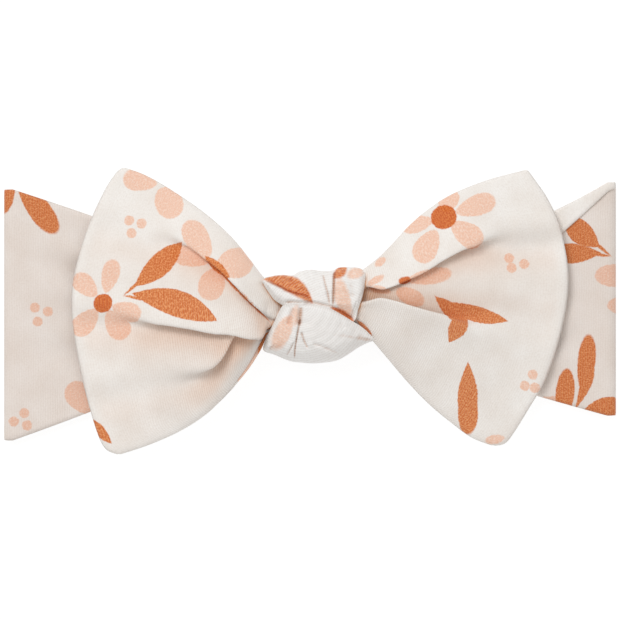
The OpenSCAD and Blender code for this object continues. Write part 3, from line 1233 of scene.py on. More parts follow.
@dataclass
class Wrap:
    """One turn of the strip round the knot, rounded over from its outline.

    Each outline point gives X, Y, how broadly the cloth rolls over there, and how high its rim is. The top is
    a hill: its middle's X and Y, its height, and how fast it falls along X and along Y.
    """

    name: str
    node: str
    outline: list[tuple[float, float, float, float]]
    middle: tuple[float, float]
    hill: tuple[float, float, float, float, float]
    tuck: float
    belly: tuple[float, float]
    pleats: list[Pleat]
    marks: tuple[Mark, ...]
    arc_middle: tuple[float, float]
    rings: int = 84
    spokes: int = 300
    ripple: float = 0.05

    def cloth(self) -> tuple[np.ndarray, np.ndarray, np.ndarray]:
        """Upper and lower surface on a wheel of spokes, and the knit's flat coordinates."""
        rim = smooth_line(self.outline, self.spokes, closed=True)
        share = (np.linspace(0, 1, self.rings) ** 0.8)[:, None]
        middle = np.array(self.middle)
        plan = middle + (rim[:, :2] - middle)[None] * share[..., None]
        x, y = plan[..., 0], plan[..., 1]
        closed = np.vstack([rim, rim[:1]])
        far, along = distance_to_line(x, y, closed[:, :2])
        inner = np.abs(far)
        inner[-1] = 0.0
        at = np.arange(self.spokes + 1) / self.spokes
        even = np.exp(-inner / 5.0)
        roll = np.interp(along, at, closed[:, 2])
        edge_z = np.interp(along, at, closed[:, 3]) * even + rim[:, 3].mean() * (1 - even)
        dome = round_rise(inner / roll)
        cx, cy, height, fall_x, fall_y = self.hill
        top = height - fall_x * (x - cx) ** 2 - fall_y * (y - cy) ** 2 - self.tuck * np.maximum(0.0, 1.5 - y)
        top = np.maximum(top, edge_z + 0.4)
        upper = edge_z + (top - edge_z) * dome
        reach = np.hypot(x - self.arc_middle[0], y - self.arc_middle[1])
        turn = np.arctan2(y - self.arc_middle[1], x - self.arc_middle[0]) * 8.0
        ridge = np.zeros_like(upper)
        for pleat in self.pleats:
            d, way = distance_to_line(x, y, smooth_line(list(pleat.line), 24))
            ends = smooth_step(way * 10) * smooth_step((1 - way) * 5)
            ridge -= pleat.depth * np.exp(-(d / pleat.width) ** 2) * ends
            ridge += pleat.step * 0.5 * np.tanh(d / pleat.width) * np.exp(-(d / 4.0) ** 2) * ends
        ridge += self.ripple * np.sin(reach * 3.1 + 2.6 * soft_noise(x, y, 6.0, 21))
        ridge += 0.22 * soft_noise(x, y, 4.5, 22) + 0.1 * soft_noise(x, y, 1.8, 23)
        upper += ridge * smooth_step(inner / 1.2)
        below = np.clip(self.belly[0] + self.belly[1] * y, 5.6, 16.5)
        below = np.minimum(below, edge_z - 0.3)
        below = np.minimum(below, upper - 0.6)
        lower = edge_z + (below - edge_z) * round_rise(inner / (0.8 * roll))
        return np.dstack([plan, upper]), np.dstack([plan, lower]), np.dstack([reach, turn])

    def let_out(self, surface: np.ndarray) -> np.ndarray:
        """Flat places of a surface whose steep sides are laid out flat round it.

        Args:
            surface: The upper or the lower surface, on its wheel of spokes.

        Returns:
            The print's place at each point.
        """
        step = np.diff(surface, axis=0)
        flat_step = np.linalg.norm(step[..., :2], axis=2)
        gain = np.maximum(np.linalg.norm(step, axis=2) - 2.6 * flat_step, 0.0)
        gain = np.concatenate([np.zeros((1, gain.shape[1])), np.cumsum(gain, axis=0)])
        out = surface[-1:, :, :2] - surface[:1, :, :2]
        out = out / np.linalg.norm(out, axis=2, keepdims=True)
        return surface[..., :2] + out * gain[..., None]

    def build(self) -> bpy.types.Object:
        """Makes the wrap's piece, which rides on the knot.

        Returns:
            The piece.
        """
        upper, lower, knit = self.cloth()
        rings, spokes = upper.shape[:2]
        z = upper[..., 2]
        # Painted shade in the wrap's pleats and hollows, faded out at its rim.
        deep = 1.2 * (blurred(z, (3, 4), True) - z) + 1.1 * (blurred(z, (9, 11), True) - z)
        away = np.linalg.norm(upper[..., :2] - upper[-1:, :, :2], axis=2)
        deep = np.clip(deep / 1.8 - 0.05, 0, 0.9) * smooth_step((away - 0.5) / 1.0)
        folds = np.dstack([deep, np.full_like(z, 0.6)])

        def gathered(top: np.ndarray, low: np.ndarray) -> np.ndarray:
            """One row for each point of the mesh."""
            width = top.shape[2]
            return np.concatenate([top[0, :1], top[1:].reshape(-1, width),
                                   low[1:-1].reshape(-1, width), low[0, :1]])

        points = gathered(upper, lower)
        j = np.arange(spokes)
        n = (j + 1) % spokes

        def ring(k: int, below: bool) -> np.ndarray:
            """Point numbers of a ring."""
            if below and k < rings - 1:
                return 1 + (rings - 1) * spokes + (k - 1) * spokes + j
            return 1 + (k - 1) * spokes + j

        faces: list = []
        last = len(points) - 1
        clockwise = np.cross(upper[-1, 0, :2] - upper[0, 0, :2], upper[-1, 1, :2] - upper[0, 0, :2]) < 0
        for below in (False, True):
            first = ring(1, below)
            flip = below != clockwise
            fan = [[last if below else 0, first[a], first[b]] for a, b in zip(j, n)]
            faces += [f[::-1] for f in fan] if flip else fan
            for k in range(1, rings - 1):
                a, b = ring(k, below), ring(k + 1, below)
                quads = np.stack([a, b, b[n], a[n]], axis=1)
                faces += (quads[:, ::-1] if flip else quads).tolist()
        layers = {PRINT_LAYER: gathered(self.let_out(upper), self.let_out(lower)),
                  KNIT_LAYER: gathered(knit, knit), FOLD_SHADE_LAYER: gathered(folds, folds)}
        made = make_object(self.name, points, faces, layers)
        dress(made, KnotKnit(f"{self.name}_knit", self.marks).material())
        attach(made, "knot")
        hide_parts(self.node)
        return made


@dataclass
class Strand:
    """The strip where it runs through the knot to an ear's root, gathered into pleats."""

    side: Side
    start: tuple[float, float, float]
    end: tuple[float, float, float]
    half_wide: tuple[float, float]
    half_high: tuple[float, float]
    pleats: int = 9
    pleat_depth: float = 0.09
    steps: int = 40
    sides: int = 96

    def build(self) -> bpy.types.Object:
        """Makes the strand, which rides on the knot.

        Returns:
            The piece.
        """
        s = np.linspace(0, 1, self.steps)
        turn = np.linspace(0, 2 * math.pi, self.sides, endpoint=False)
        start, end = np.array(self.start), np.array(self.end)
        cap = round_rise(np.minimum(s, 1 - s) / 0.12 + 0.02)
        points = []
        for k, t in enumerate(s):
            ripple = 1 + self.pleat_depth * np.sin(self.pleats * turn + 2.4 * t + np.sin(3 * turn + 4 * t))
            wide = (self.half_wide[0] * (1 - t) + self.half_wide[1] * t) * cap[k] * ripple
            high = (self.half_high[0] * (1 - t) + self.half_high[1] * t) * cap[k] * ripple
            place = start * (1 - t) + end * t
            points.append(np.stack([np.full_like(turn, place[0]), place[1] + wide * np.cos(turn),
                                    place[2] + high * np.sin(turn)], axis=1))
        made = closed_tube(f"{self.side.word}_ear_strand", points, along_knit=False)
        dress(made, PrintedKnit(f"{self.side.word}_strand_knit").material())
        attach(made, "knot")
        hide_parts(f"{self.side.word}_ear_neck")
        return made


# ---------------------------------------------------------------- the band


@dataclass(frozen=True)
class Gather:
    """A soft fold of the band that deepens towards the bow."""

    at_fold: float
    at_knot: float
    depth: float
    width: float


@dataclass
class BandSide:
    """Half of the flattened ring: its front and back, joined round the side fold."""

    side: Side
    gathers: list[Gather]
    marks: tuple[Mark, ...]
    early: tuple[float, float]
    ply: float = PLY
    steps_along: int = 150
    steps_across: int = 110
    edge_roll: float = 1.0
    overlap: float = 0.3
    lining_back: float = 0.8
    turn_z: tuple[float, float] = (1.95, 2.5)
    knot_half: float = 6.6
    # Painted shade over the whole band, which lies lower, in the bow's shade.
    shade: float = 0.26
    turned: "TurnedEdge | None" = None

    def measures(self) -> dict[str, float]:
        """The sizes that the frame sets for this side.

        Returns:
            The sizes by name, in millimetres.
        """
        low, high = box_mm(f"band_back_{self.side.word}_outer")
        reach = abs(low[0] if self.side is Side.LEFT else high[0])
        radius = high[2] / 2
        return {"fold_x": reach - radius, "radius": radius, "top": high[1], "bottom": low[1],
                "knot_x": self.inner_x() - self.overlap}

    def inner_x(self) -> float:
        """X of the band's joint at the casing, without its sign."""
        return abs(joint_x("band_open" if self.side is Side.LEFT else "right_back_turn"))

    def edge(self, x: np.ndarray, upper: bool) -> np.ndarray:
        """Y of the band's upper or lower edge at X values without their sign.

        Args:
            x: The X values.
            upper: Whether it is the upper edge.

        Returns:
            The Y values.
        """
        m = self.measures()
        start = m["top"] if upper else m["bottom"]
        finish = self.knot_half if upper else -self.knot_half
        early = self.early[0] if upper else self.early[1]
        t = np.clip((m["fold_x"] - x) / (m["fold_x"] - m["knot_x"]), 0, 1)
        a = early
        b = early + (1 - early) * 0.42
        blend = 3 * (1 - t) ** 2 * t * a + 3 * (1 - t) * t * t * b + t**3
        return start + (finish - start) * blend

    def ply_cloth(self, inset: float) -> Cloth:
        """One ply, from the knot over the front, round the fold and along the back to the casing.

        Args:
            inset: How deep the ply's middle lies under the band's outer face.

        Returns:
            The ply.
        """
        m = self.measures()
        radius = m["radius"] - inset
        begin = m["knot_x"] + (self.lining_back if inset > self.ply else 0.0)
        flat_run = m["fold_x"] - begin
        arc = math.pi * radius
        s = np.linspace(0, 2 * flat_run + arc, self.steps_along)
        turn = np.clip((s - flat_run) / radius, 0, math.pi)
        x = np.where(s < flat_run, begin + s,
                     np.where(s > flat_run + arc, m["fold_x"] - (s - flat_run - arc),
                              m["fold_x"] + radius * np.sin(turn)))
        z = m["radius"] + radius * np.cos(turn)
        v = np.linspace(0, 1, self.steps_across)[None, :]
        top, low = self.edge(x, True)[:, None], self.edge(x, False)[:, None]
        tuck = inset - self.ply / 2
        y = (top - tuck) + (low - top + 2 * tuck) * v
        away = np.clip((m["fold_x"] - x) / flat_run, 0, 1)[:, None]
        is_front = (s < flat_run + arc / 2)[:, None]
        height = np.zeros_like(y)
        for gather in self.gathers:
            line = gather.at_fold + (gather.at_knot - gather.at_fold) * away
            xi = (y - line) / gather.width
            height -= gather.depth * smooth_step(away * 2.6) * valley_shape(xi)
        plan_x = self.side.value * x[:, None] * np.ones_like(y)
        height += 0.16 * soft_noise(plan_x, y, 10.0, 31 + self.side.value) * smooth_step(away * 6)
        ripple = np.sin((y - y.mean(1, keepdims=True)) / np.maximum(top - low, 1) * 2 * math.pi * 6 + 0.7)
        height += 0.45 * ripple * smooth_step((away - 0.35) / 0.5)
        span = top - low
        edge = np.minimum(v, 1 - v) * span
        droop = (1 - round_rise(edge / self.edge_roll)) * (0.62 - 0.3 * tuck)
        room = 0.55 if inset > self.ply else 1.2
        front_height = np.clip(height - droop, -room, 1.0)
        back_height = np.clip(0.35 * height + 0.45 * droop, -0.05, 0.4)
        zz = z[:, None] + np.where(is_front, front_height, back_height)
        points = np.dstack([plan_x, y, zz])
        knit = np.dstack([s[:, None] * np.ones_like(y), (v - 0.5) * STRIP_WIDE * np.ones_like(y)])
        run = self.side.value * (begin + s[:, None]) * np.ones_like(y)
        printed = np.dstack([run, y])
        # Painted fold shade fades out near the edges and towards the side fold.
        clear = smooth_step((edge - 0.5) / 3.0) * smooth_step(away * 12.0)
        if self.side is Side.RIGHT:
            points, printed, knit, clear = (a[:, ::-1] for a in (points, printed, knit, clear))
        return Cloth(points, printed, knit, 0.15, self.shade, clear, fold_depth=0.9)

    def build(self) -> list[bpy.types.Object]:
        """Makes this side's outer ply and lining.

        Returns:
            The pieces.
        """
        word = self.side.word
        m = self.measures()
        outer = self.ply_cloth(self.ply / 2).piece(f"{word}_band_outer_ply", self.ply)
        lining = self.ply_cloth(self.ply * 1.5 + 0.2).piece(f"{word}_band_lining", self.ply)
        dress(outer, BandKnit(f"{word}_band_knit", self.marks).material())
        dress(lining, PrintedKnit(f"{word}_lining_knit").material())
        start, end = ((self.side.value * m["fold_x"] * MM, 0.0, z * MM) for z in self.turn_z)
        flat = (STRIP_WIDE * MM, 2 * (m["fold_x"] - m["knot_x"] + 4) * MM)
        for piece in (outer, lining):
            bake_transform(piece)
        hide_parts(f"band_back_{word}_outer", f"band_front_{word}_outer")
        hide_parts(f"band_back_{word}_lining", f"band_front_{word}_lining")
        cut = 0.62 * flat[0] * flat[1]
        strip = [self.turned.build(self)] if self.turned else []
        return [outer, lining, *strip]


@dataclass
class TurnedEdge:
    """The strip of the right front's upper edge that lies folded over onto its face."""

    start_x: float = 18.0
    end_x: float = 79.6
    wide: tuple[float, float, float] = (1.0, 0.38, 6.2)
    lift: float = 0.95
    ply: float = PLY

    def build(self, band: BandSide) -> bpy.types.Object:
        """Makes the strip, which rides on the right front.

        Args:
            band: The side of the band that it belongs to.

        Returns:
            The strip.
        """
        along, across = 110, 26
        x = np.linspace(self.start_x, self.end_x, along)[:, None]
        v = np.linspace(0, 1, across)[None, :]
        top = band.edge(x, True)
        narrow, growth, most = self.wide
        wide = np.minimum(narrow + growth * (self.end_x - x), most)
        grown = 0.25 * np.sin(math.pi * np.clip(v * 3, 0, 1))
        y = top + grown - wide * v
        m = band.measures()
        past = np.clip(x - m["fold_x"], 0, m["radius"])
        front = m["radius"] + np.sqrt(m["radius"] ** 2 - past**2)
        roll = round_rise(np.minimum(v, 1 - v) * wide / 1.1)
        z = front - 0.2 + self.lift * (0.45 + 0.55 * roll) + 0.14 * soft_noise(x + 0 * v, y, 6.0, 42)
        points = np.dstack([x + 0 * v, y, z])[:, ::-1]
        knit = np.dstack([x + 0 * v, -wide * v + 300])[:, ::-1]
        made = Cloth(points, points[..., :2], knit, clear=0.0).piece("right_turned_strip", self.ply)
        dress(made, PrintedKnit("right_turned_knit").material())
        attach(made, "front_right")
        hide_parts("band_front_right_turned_edge")
        return made


@dataclass
class BandEnd:
    """A band's end, pleated flat behind the knot."""

    side: Side
    node: str
    reach: float = 14.2
    half: tuple[float, float] = (6.6, 6.0)
    middle_z: float = 4.2
    pleats: int = 6
    depth: float = 0.36
    ply: float = PLY

    def build(self) -> bpy.types.Object:
        """Makes the pleated end; the right one rides on the knot."""
        along, across = 60, 150
        u = np.linspace(0, 1, along)[:, None]
        v = np.linspace(-1, 1, across)[None, :]
        x = self.side.value * (0.1 + (self.reach - 0.1) * (1 - u)) + 0 * v
        half = self.half[0] * (1 - u) + self.half[1] * u
        phase = v * math.pi * self.pleats + 0.6 * np.sin(v * 5 + 3 * u)
        y = half * v + 0.5 * np.sin(2 * phase) * (1 - v * v)
        z = self.middle_z + self.depth * np.sin(phase) * (0.6 + 0.4 * u)
        points = np.dstack([x, y, z])
        knit = np.dstack([(1 - u) * self.reach + 0 * v, v * (STRIP_WIDE / 2) + 0 * u])
        if self.side is Side.RIGHT:
            points, knit = points[:, ::-1], knit[:, ::-1]
        made = Cloth(points, points[..., :2], knit, 0.4).piece(f"{self.side.word}_band_end", self.ply)
        dress(made, PrintedKnit(f"{self.side.word}_end_knit").material())
        if self.side is Side.LEFT:
            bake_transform(made)
        else:
            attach(made, "knot")
        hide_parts(self.node)
        return made


@dataclass
class Casing:
    """The gathered casing at the centre back, with the elastic inside it and the stitches at its ends."""

    wrinkles: float = 15.0
    wrinkle_depth: float = 0.32
    waist: float = 2.1
    sections: int = 150
    sides: int = 90
    thread: float = 0.2

    def ruched(self) -> bpy.types.Object:
        """The casing itself, bunched along the elastic.

        Returns:
            The piece.
        """
        low, high = box_mm("back_casing")
        half_x, half_y, half_z = (high - low) / 2
        mid_z = (low[2] + high[2]) / 2
        turn = np.linspace(0, 2 * math.pi, self.sides, endpoint=False)
        c, s = np.cos(turn), np.sin(turn)
        flat_y, flat_z = squared(c, 0.45), squared(s, 0.8)
        sections = []
        for x in np.linspace(-half_x, half_x, self.sections):
            wander = soft_noise(np.full_like(turn, x), 6 * c, 5.0, 51)
            wave = np.sin((x / half_x) * math.pi * self.wrinkles / 2 + 2.2 * wander)
            close = 0.72 + 0.28 * smooth_step((half_x - abs(x)) / 1.6)
            high_now = (half_z - self.wrinkle_depth + self.wrinkle_depth * wave) * close
            wide_now = half_y - self.waist + 0.35 * wave
            sections.append(np.stack([np.full_like(turn, x), wide_now * flat_y,
                                      mid_z + high_now * flat_z], axis=1))
        made = closed_tube("centre_back_casing", sections, along_knit=True)
        dress(made, PrintedKnit("casing_knit").material())
        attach(made, "back_centre")
        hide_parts("back_casing")
        return made

    def elastic(self) -> bpy.types.Object:
        """The ribbed elastic.

        Returns:
            The piece.
        """
        low, high = box_mm("back_elastic")
        half = (high - low) / 2
        mid = (high + low) / 2
        turn = np.linspace(0, 2 * math.pi, 120, endpoint=False)
        c, s = np.cos(turn), np.sin(turn)
        flat_y, flat_z = squared(c, 0.4), squared(s, 0.3)
        ribs = 1.0 + 0.12 * np.cos(flat_y * half[1] * 2 * math.pi / 1.1)
        sections = []
        for x in np.linspace(low[0], high[0], 30):
            sections.append(np.stack([np.full_like(turn, x), mid[1] + half[1] * flat_y,
                                      mid[2] + 0.88 * half[2] * ribs * flat_z], axis=1))
        made = closed_tube("centre_back_elastic", sections, along_knit=True)
        dress(made, Elastic().material())
        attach(made, "back_centre")
        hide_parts("back_elastic")
        return made

    def stitches(self, thread: bpy.types.Material) -> bpy.types.Object:
        """A short row of stitches across each end.

        Args:
            thread: The sewing thread's material.

        Returns:
            The piece.
        """
        low, high = box_mm("casing_stitches")
        paths = []
        for x in (low[0] + 0.8, high[0] - 0.8):
            for y in np.arange(low[1] + 0.6, high[1] - 0.6, 1.9):
                way = np.linspace(0, 1, 7)
                paths.append(np.stack([x + 0.5 * (way - 0.5), y + 1.4 * way,
                                       high[2] - 0.3 + 0.28 * np.sin(math.pi * way)], axis=1))
        made = tube_piece("casing_thread", paths, self.thread)
        dress(made, thread)
        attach(made, "back_centre")
        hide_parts("casing_stitches")
        return made

    def build(self, thread: bpy.types.Material) -> list[bpy.types.Object]:
        """Makes the casing's pieces."""
        return [self.ruched(), self.elastic(), self.stitches(thread)]


@dataclass
class Tacks:
    """The hand stitches that hold the band's ends together behind the knot."""

    thread: float = 0.18

    def build(self, thread: bpy.types.Material) -> bpy.types.Object:
        """Makes the stitches, which ride on the knot.

        Args:
            thread: The sewing thread's material.

        Returns:
            The piece.
        """
        low, high = box_mm("knot_tack_stitches")
        paths = []
        for k, y in enumerate(np.linspace(low[1] + 0.4, high[1] - 0.4, 8)):
            way = np.linspace(0, 1, 9)
            lean = 0.7 if k % 2 else -0.7
            paths.append(np.stack([low[0] + (high[0] - low[0]) * way, y + lean * (way - 0.5),
                                   low[2] + 0.34 - 0.16 * np.sin(math.pi * way)], axis=1))
        made = tube_piece("knot_tack_thread", paths, self.thread)
        dress(made, thread)
        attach(made, "knot")
        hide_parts("knot_tack_stitches")
        return made


# ---------------------------------------------------------------- stage


@dataclass
class Studio:
    """The pale floor, soft light and the camera that looks straight down."""

    frame_width: float = 161.57
    lens: float = 400.0
    sensor: float = 36.0
    focus_z: float = 8.0
    lamp_colour: tuple[float, float, float] = (0.97, 0.985, 1.0)

    def build(self) -> None:
        """Makes the floor, lights, world and camera."""
        scene = bpy.context.scene
        scene.view_settings.view_transform = "Standard"
        scene.view_settings.look = "None"
        self.floor()
        self.world(scene)
        self.area("key", (-0.35, 0.6, 1.15), 0.6, 8.1)
        self.area("fill", (0.5, -0.5, 1.1), 0.9, 1.7)
        camera = bpy.data.cameras.new("camera")
        camera.sensor_width = self.sensor
        camera.lens = self.lens
        camera.clip_start, camera.clip_end = 0.05, 20.0
        holder = bpy.data.objects.new("camera", camera)
        scene.collection.objects.link(holder)
        distance = self.frame_width * MM * self.lens / self.sensor
        holder.location = (0.0, 0.0, distance + self.focus_z * MM)
        scene.camera = holder

    def floor(self) -> None:
        """A plain white floor."""
        half = 2.5
        corners = np.array([[-half, -half, 0], [half, -half, 0], [half, half, 0], [-half, half, 0]]) / MM
        corners[:, 2] = -0.05
        made = make_object("floor", corners, [[0, 1, 2, 3]], {})
        sh = Shader("floor_white")
        sh.feed("Base Color", (0.2, 0.2, 0.2, 1.0))
        sh.feed("Roughness", 1.0)
        sh.feed("Specular IOR Level", 0.0)
        sh.feed("Emission Color", (1.0, 1.0, 1.0, 1.0))
        sh.feed("Emission Strength", 0.87)
        made.data.materials.append(sh.material)

    def world(self, scene: bpy.types.Scene) -> None:
        """Even white light from all round.

        Args:
            scene: The scene that it lights.
        """
        world = bpy.data.worlds.new("studio")
        world.use_nodes = True
        world.node_tree.nodes["Background"].inputs["Color"].default_value = (1.0, 0.98, 0.96, 1.0)
        world.node_tree.nodes["Background"].inputs["Strength"].default_value = 0.6
        scene.world = world

    def area(self, name: str, place: tuple[float, float, float], size: float, power: float) -> None:
        """A soft square light that faces the object.

        Args:
            name: Its name.
            place: Where it stands, in metres.
            size: Its side, in metres.
            power: Its power, in watts.
        """
        light = bpy.data.lights.new(name, "AREA")
        light.size = size
        light.energy = power
        light.color = self.lamp_colour
        holder = bpy.data.objects.new(name, light)
        holder.location = place
        bpy.context.scene.collection.objects.link(holder)
        holder.rotation_mode = "QUATERNION"
        holder.rotation_quaternion = (-Vector(place)).to_track_quat("-Z", "Y")
        holder.visible_camera = False


# ---------------------------------------------------------------- this headband


LEFT_EAR_MARKS = (
    *flower(-53.8, 1.8, 2.4, [(75.5, 7.2, 8.8, 4.5), (135, 6.4, 7.8, 5.0), (227, 6.7, 8.8, 5.4),
                              (302, 6.6, 8.6, 6.0), (342, 6.5, 7.8, 4.5)]),
    *sprig((-48.4, 3.7), (-45.6, 6.1), (-33.1, 17.9), 5.8, 0.1, -0.5),
    *sprig((-48.4, 3.7), (-46.3, 4.2), (-23.9, -2.9), 6.9, 0.12, 1.2),
    leaf((-27.2, 13.9), (-20.8, 8.2), 2.4),
    leaf((-24.6, 11.0), (-10.4, -3.4), 0.9),
    petal(-29.1, 18.3, 123.7, 11.0, 6.0, 0.25),
    petal(-19.6, 12.0, 12, 9.2, 7.8, 0.1),
    petal(-31.2, 13.9, 167, 10.6, 5.4, 0.2),
    petal(-25.4, 6.6, 250, 8.4, 6.8, 0.1),
    petal(-44.3, 33.6, 168, 8.8, 5.3, 0.3),
    petal(-36.8, 27.8, 300, 8.6, 7.0, 0.1),
    *dots((-47.0, 23.3), (-43.8, 22.5), (-46.4, 20.0)),
    leaf((-58.5, -27.5), (-51.6, -34.9), 2.8),
)
RIGHT_EAR_MARKS = (
    *flower(34.8, 24.0, 3.2, [(20, 8.8, 10.7, 5.4), (324, 7.2, 9.2, 6.0), (240, 8.7, 9.4, 6.0),
                              (194, 7.1, 8.4, 4.4), (76, 4.6, 6.4, 5.4)]),
    petal(18.4, 12.3, 40, 3.4, 1.8),
    petal(17.2, 7.6, 30, 4.6, 1.8),
    Mark(MarkKind.CENTRE, 24.6, 7.6, 14, 3.2, 1.8),
    petal(31.0, 8.6, 10, 11.4, 4.0, 0.2),
    petal(18.2, 5.2, -10, 5.6, 1.8),
    petal(26.0, 3.5, -24, 7.6, 4.2, 0.1),
    *sprig((32.3, 3.7), (34.0, 2.0), (51.4, -2.9), 4.4, 0.1, -0.5),
    leaf((32.2, 3.9), (39.6, -4.2), 2.8, 0.2),
    leaf((40.4, -0.8), (36.0, -8.4), 4.6, -0.2),
    leaf((12.2, -2.3), (16.4, -6.6), 1.2, 0.1),
    leaf((41.0, -13.4), (41.0, -31.0), 5.2, 0.2),
    blade((41.0, -20.0), (41.2, -32.2), 5.2, 0.1),
    *dots((51.8, 13.4), (55.7, 11.9), (52.4, 10.9)),
    *dots((58.0, -16.8), (55.9, -19.7), (58.5, -20.2)),
    petal(48.1, -33.6, 8, 5.0, 2.2),
)
LEFT_BAND_MARKS = (
    *wild_flower(-112.0, 2.0, 40, big=True),
    leaf((-98.0, -14.0), (-108.0, -27.0), 6.6, 0.2, 0.8),
    blade((-79.4, 39.0), (-80.2, 25.2), 5.6, 0.1),
    blade((-76.4, 33.6), (-66.2, 20.2), 5.6, 0.3),
    *dots((-71.8, 0.6), (-68.4, -0.4), (-71.1, -3.0)),
    *dots((-74.6, -26.9), (-77.3, -29.1), (-73.9, -30.1)),
    petal(-59.9, -22.9, 128, 9.4, 6.8, 0.2),
    petal(-60.0, -29.7, 20, 9.0, 1.8),
)
RIGHT_BAND_MARKS = (
    *wild_flower(110.0, -6.0, 12, big=True),
    leaf((96.0, 10.0), (110.0, 21.0), 6.6, 0.2, 0.8),
    *sprig((78.6, 14.0), (75.6, 16.4), (66.4, 24.6), 6.0, 0.1, 0.4),
    *sprig((78.6, 14.0), (76.2, 14.9), (61.0, 15.0), 5.2, 0.2, 0.2),
    petal(79.4, 9.0, 180, 10.0, 5.9),
    petal(80.8, 1.2, 180, 6.4, 4.2),
    leaf((69.2, -25.8), (73.6, -11.5), 3.0, 0.3, -0.8),
    blade((71.4, -21.4), (72.9, -6.4), 4.6, 0.1),
    blade((66.0, -28.0), (67.2, -15.3), 4.9),
    leaf((70.6, -26.8), (84.4, -25.4), 5.0, 0.2, 0.9),
    petal(62.4, -24.0, 0, 7.6, 3.2),
)
BACK_MARKS = (
    *wild_flower(-44.0, 14.0, 60, big=False),
    leaf((-32.0, 2.0), (-20.0, 14.0), 6.4, 0.25, 0.8),
    leaf((-46.0, -8.0), (-36.0, -24.0), 6.4, 0.25, -0.8),
    *dots((-30.0, -12.0), (-27.0, -13.2), (-29.4, -15.2)),
    *wild_flower(46.0, -12.0, 24, big=False),
    leaf((38.0, 8.0), (52.0, 22.0), 6.0, 0.25),
    *dots((30.0, 4.0), (33.0, 2.8), (30.6, 0.8)),
)
LEFT_SLIVER_MARKS = (
    leaf((-9.5, -2.5), (-13.4, -12.0), 3.0),
    petal(-15.2, -14.0, 240, 12.0, 5.0),
)
LOWER_WRAP_MARKS = (
    petal(-7.0, -5.4, 65, 10.2, 4.2, -0.2),
    petal(-3.8, -1.4, 84, 5.0, 1.8),
)
UPPER_WRAP_MARKS = (
    leaf((-12.6, 8.1), (0.7, 1.9), 4.2, 0.25, 1.9),
    petal(8.7, 3.2, 106, 10.4, 4.0),
    petal(12.0, 9.7, 15, 4.8, 2.8),
    leaf((6.2, 8.2), (9.6, 11.6), 2.6),
    leaf((5.4, 0.7), (11.6, -3.1), 2.3),
)


def left_ear() -> Ear:
    """The left ear, with three folds whose upper sides lie on top."""
    return Ear(
        side=Side.LEFT,
        root_edge=[(-10.6, 6.6), (-8.2, 4.4), (-5.8, 1.6), (-5.6, -1.6), (-7.4, -4.4)],
        upper_edge=[(-10.6, 6.6), (-13.0, 9.2), (-15.8, 12.9), (-20.8, 19.0), (-27.4, 24.9),
                    (-35.2, 30.4), (-42.5, 34.7), (-48.6, 37.0)],
        lower_edge=[(-7.4, -4.4), (-11.5, -5.9), (-12.8, -7.8), (-15.9, -13.5), (-18.8, -17.7), (-21.9,
                                                                                                 -21.7),
                    (-27.0, -26.8), (-33.9, -31.3), (-42.0, -34.9), (-49.8, -37.5)],
        end_edge=[(-50.6, 35.3), (-53.9, 30.0), (-58.3, 19.8), (-61.4, 8.5), (-61.9, -0.9), (-60.7, -10.0),
                  (-58.3, -21.5), (-55.4, -31.5), (-53.2, -36.0)],
        creases=[
            Crease(((-9.3, -3.5), (-14.9, 1.8), (-18.6, 6.1), (-22.3, 9.8), (-26.5, 13.5), (-32.9, 17.2),
                    (-42.0, 20.4)), Over.UPPER, 2.8, 1.9, (1.3, 4.6), 0.36),
            Crease(((-9.8, -5.0), (-14.9, -5.4), (-20.7, -5.7), (-24.9, -5.8), (-30.3, -4.6), (-35.6, -3.5),
                    (-43.6, -2.7), (-52.1, -1.4)), Over.UPPER, 3.2, 2.5, (1.4, 4.2), 0.62),
            Crease(((-10.8, -5.9), (-17.0, -7.6), (-20.7, -9.9), (-23.9, -13.1), (-27.6, -15.7), (-32.9,
                                                                                                  -17.3),
                    (-37.5, -17.3)), Over.UPPER, 3.0, 2.2, (1.3, 4.4), 0.42),
        ],
        swells=[
            Swell(-46.0, 13.0, 12.0, 7.0, 25, 0.8), Swell(-38.0, -11.0, 11.0, 5.0, 5, 0.7),
            Swell(-30.0, 25.0, 12.0, 4.0, 38, 0.7), Swell(-34.0, -25.0, 12.0, 5.0, -30, 0.6),
            Swell(-47.0, -17.0, 7.0, 5.0, 10, -0.6), Swell(-34.0, 6.0, 9.0, 5.0, 15, 0.7),
        ],
        marks=LEFT_EAR_MARKS,
        back_marks=LEFT_SLIVER_MARKS + BACK_MARKS,
        under=[((-12.0, 6.6), (-10.6, 4.4), (-9.2, 2.6), (-8.0, 1.5), (-7.2, 1.0)),
               ((-7.2, 1.0), (-9.2, -2.8), (-10.5, -5.4), (-11.6, -7.8), (-12.1, -10.5))],
    )


